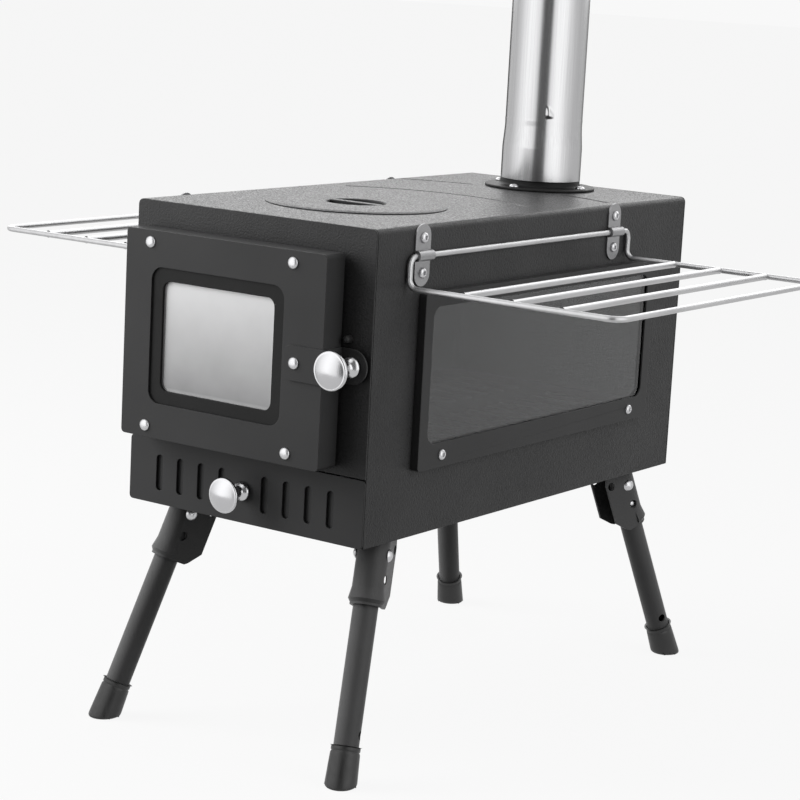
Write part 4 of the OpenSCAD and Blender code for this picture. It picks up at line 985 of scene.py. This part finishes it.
# %% Mirrored studio
WALL_R, DARK_TOP, BACK_LOW, WALL_TOP = 1150, 500, 540, 1900
STUDIO = [
    (-180, 0.5), (-170, 0.3), (-162, 0.1), (-120, 0.1), (-110, 0.92), (-96, 0.95), (-74, 1.03),
    (-56, 1.42), (-41, 1.84), (-27, 2.1), (-14, 2.1), (-3, 1.85), (6, 1.5), (12, 0.2), (38, 0.2),
    (43, 1.6), (57, 2.1), (69, 2.15), (81, 2.05), (94, 1.56), (109, 1.22), (124, 1.0), (167, 0.85),
    (180, 0.5)]
BACK_GLOW, BACK_TURN, BACK_HALF = 2.9, -148, 60


def studio_glow(turn, height):
    """How bright the mirrored studio is at a turn round the flue and a height."""
    if height > (DARK_TOP + BACK_LOW) / 2 and abs((turn - BACK_TURN + 180) % 360 - 180) < BACK_HALF:
        return BACK_GLOW
    for (from_turn, from_glow), (to_turn, to_glow) in zip(STUDIO, STUDIO[1:]):
        if from_turn <= turn <= to_turn:
            return from_glow + (to_glow - from_glow) * (turn - from_turn) / (to_turn - from_turn)
    return STUDIO[0][1]


studio = turned("mirrored_studio", [(WALL_R, h) for h in (0, DARK_TOP, BACK_LOW, 1200, WALL_TOP)], 360)
glow_at = studio.data.attributes.new("glow", "FLOAT", "POINT")
for point in studio.data.vertices:
    glow_at.data[point.index].value = studio_glow(around(point.co), point.co.z / MM)
STUDIO_GLOW = finish_named("studio_glow", Base_Color=(0, 0, 0, 1), Specular_IOR_Level=0.0,
                           Emission_Color=(1, 1, 1, 1))
glow_read = added(STUDIO_GLOW, "ShaderNodeAttribute", attribute_name="glow")
linked(STUDIO_GLOW, glow_read.outputs["Fac"], shader(STUDIO_GLOW, "Emission Strength"))
coated(studio, STUDIO_GLOW)
studio.data.transform(Matrix.Translation((PIPE_AXIS.x, PIPE_AXIS.y, 0)))
studio.visible_camera = studio.visible_diffuse = False
studio.visible_shadow = studio.visible_transmission = False
studio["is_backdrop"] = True
print("mirrored studio", WALL_TOP, "mm high, seen by reflections alone")

# %% [markdown]
# The ground is one plane. To the camera, and in reflections, it adds a pale light of its own to
# what the lamps throw on it, so that it matches the white surround and still shows a soft shadow.

# %% Ground and surround
bpy.ops.object.select_all(action="DESELECT")
bpy.ops.mesh.primitive_plane_add(size=40, location=(0, 0, 0))
ground = bpy.context.active_object
ground.name = "studio_ground"
ground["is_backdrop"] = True
PALE, GROUND_GLOW, FILL = 0.94, 0.91, 0.24


def seen_directly(tree):
    """One where a ray comes from the camera, a reflection or glass, and zero for lighting."""
    path = tree.nodes.new("ShaderNodeLightPath")
    first = tree.nodes.new("ShaderNodeMath")
    first.operation = "MAXIMUM"
    tree.links.new(path.outputs["Is Camera Ray"], first.inputs[0])
    tree.links.new(path.outputs["Is Glossy Ray"], first.inputs[1])
    second = tree.nodes.new("ShaderNodeMath")
    second.operation = "MAXIMUM"
    tree.links.new(first.outputs[0], second.inputs[0])
    tree.links.new(path.outputs["Is Transmission Ray"], second.inputs[1])
    return second.outputs[0]


GROUND = finish_named("studio_ground_white", Base_Color=(0.04, 0.04, 0.04, 1), Roughness=1.0,
                      Specular_IOR_Level=0.0, Emission_Color=(1, 1, 1, 1))
glow = added(GROUND, "ShaderNodeMath", operation="MULTIPLY")
glow.inputs[1].default_value = GROUND_GLOW
linked(GROUND, seen_directly(GROUND.node_tree), glow.inputs[0])
linked(GROUND, glow.outputs[0], shader(GROUND, "Emission Strength"))
coated(ground, GROUND)

world = bpy.data.worlds.new("studio_surround")
bpy.context.scene.world = world
world.use_nodes = True
surround = world.node_tree.nodes["Background"]
ambient = world.node_tree.nodes.new("ShaderNodeMapRange")
ambient.inputs["To Min"].default_value = FILL
ambient.inputs["To Max"].default_value = PALE
world.node_tree.links.new(seen_directly(world.node_tree), ambient.inputs["Value"])
world.node_tree.links.new(ambient.outputs["Result"], surround.inputs["Strength"])
surround.inputs["Color"].default_value = (1, 1, 1, 1)
bpy.context.scene.view_settings.view_transform = "Standard"
print("surround", PALE, "to the camera and", FILL, "to the matte parts")

# %% [markdown]
# ## Sizes at the end
# The dressed stove's outer box is found from every shown piece.

low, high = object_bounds()
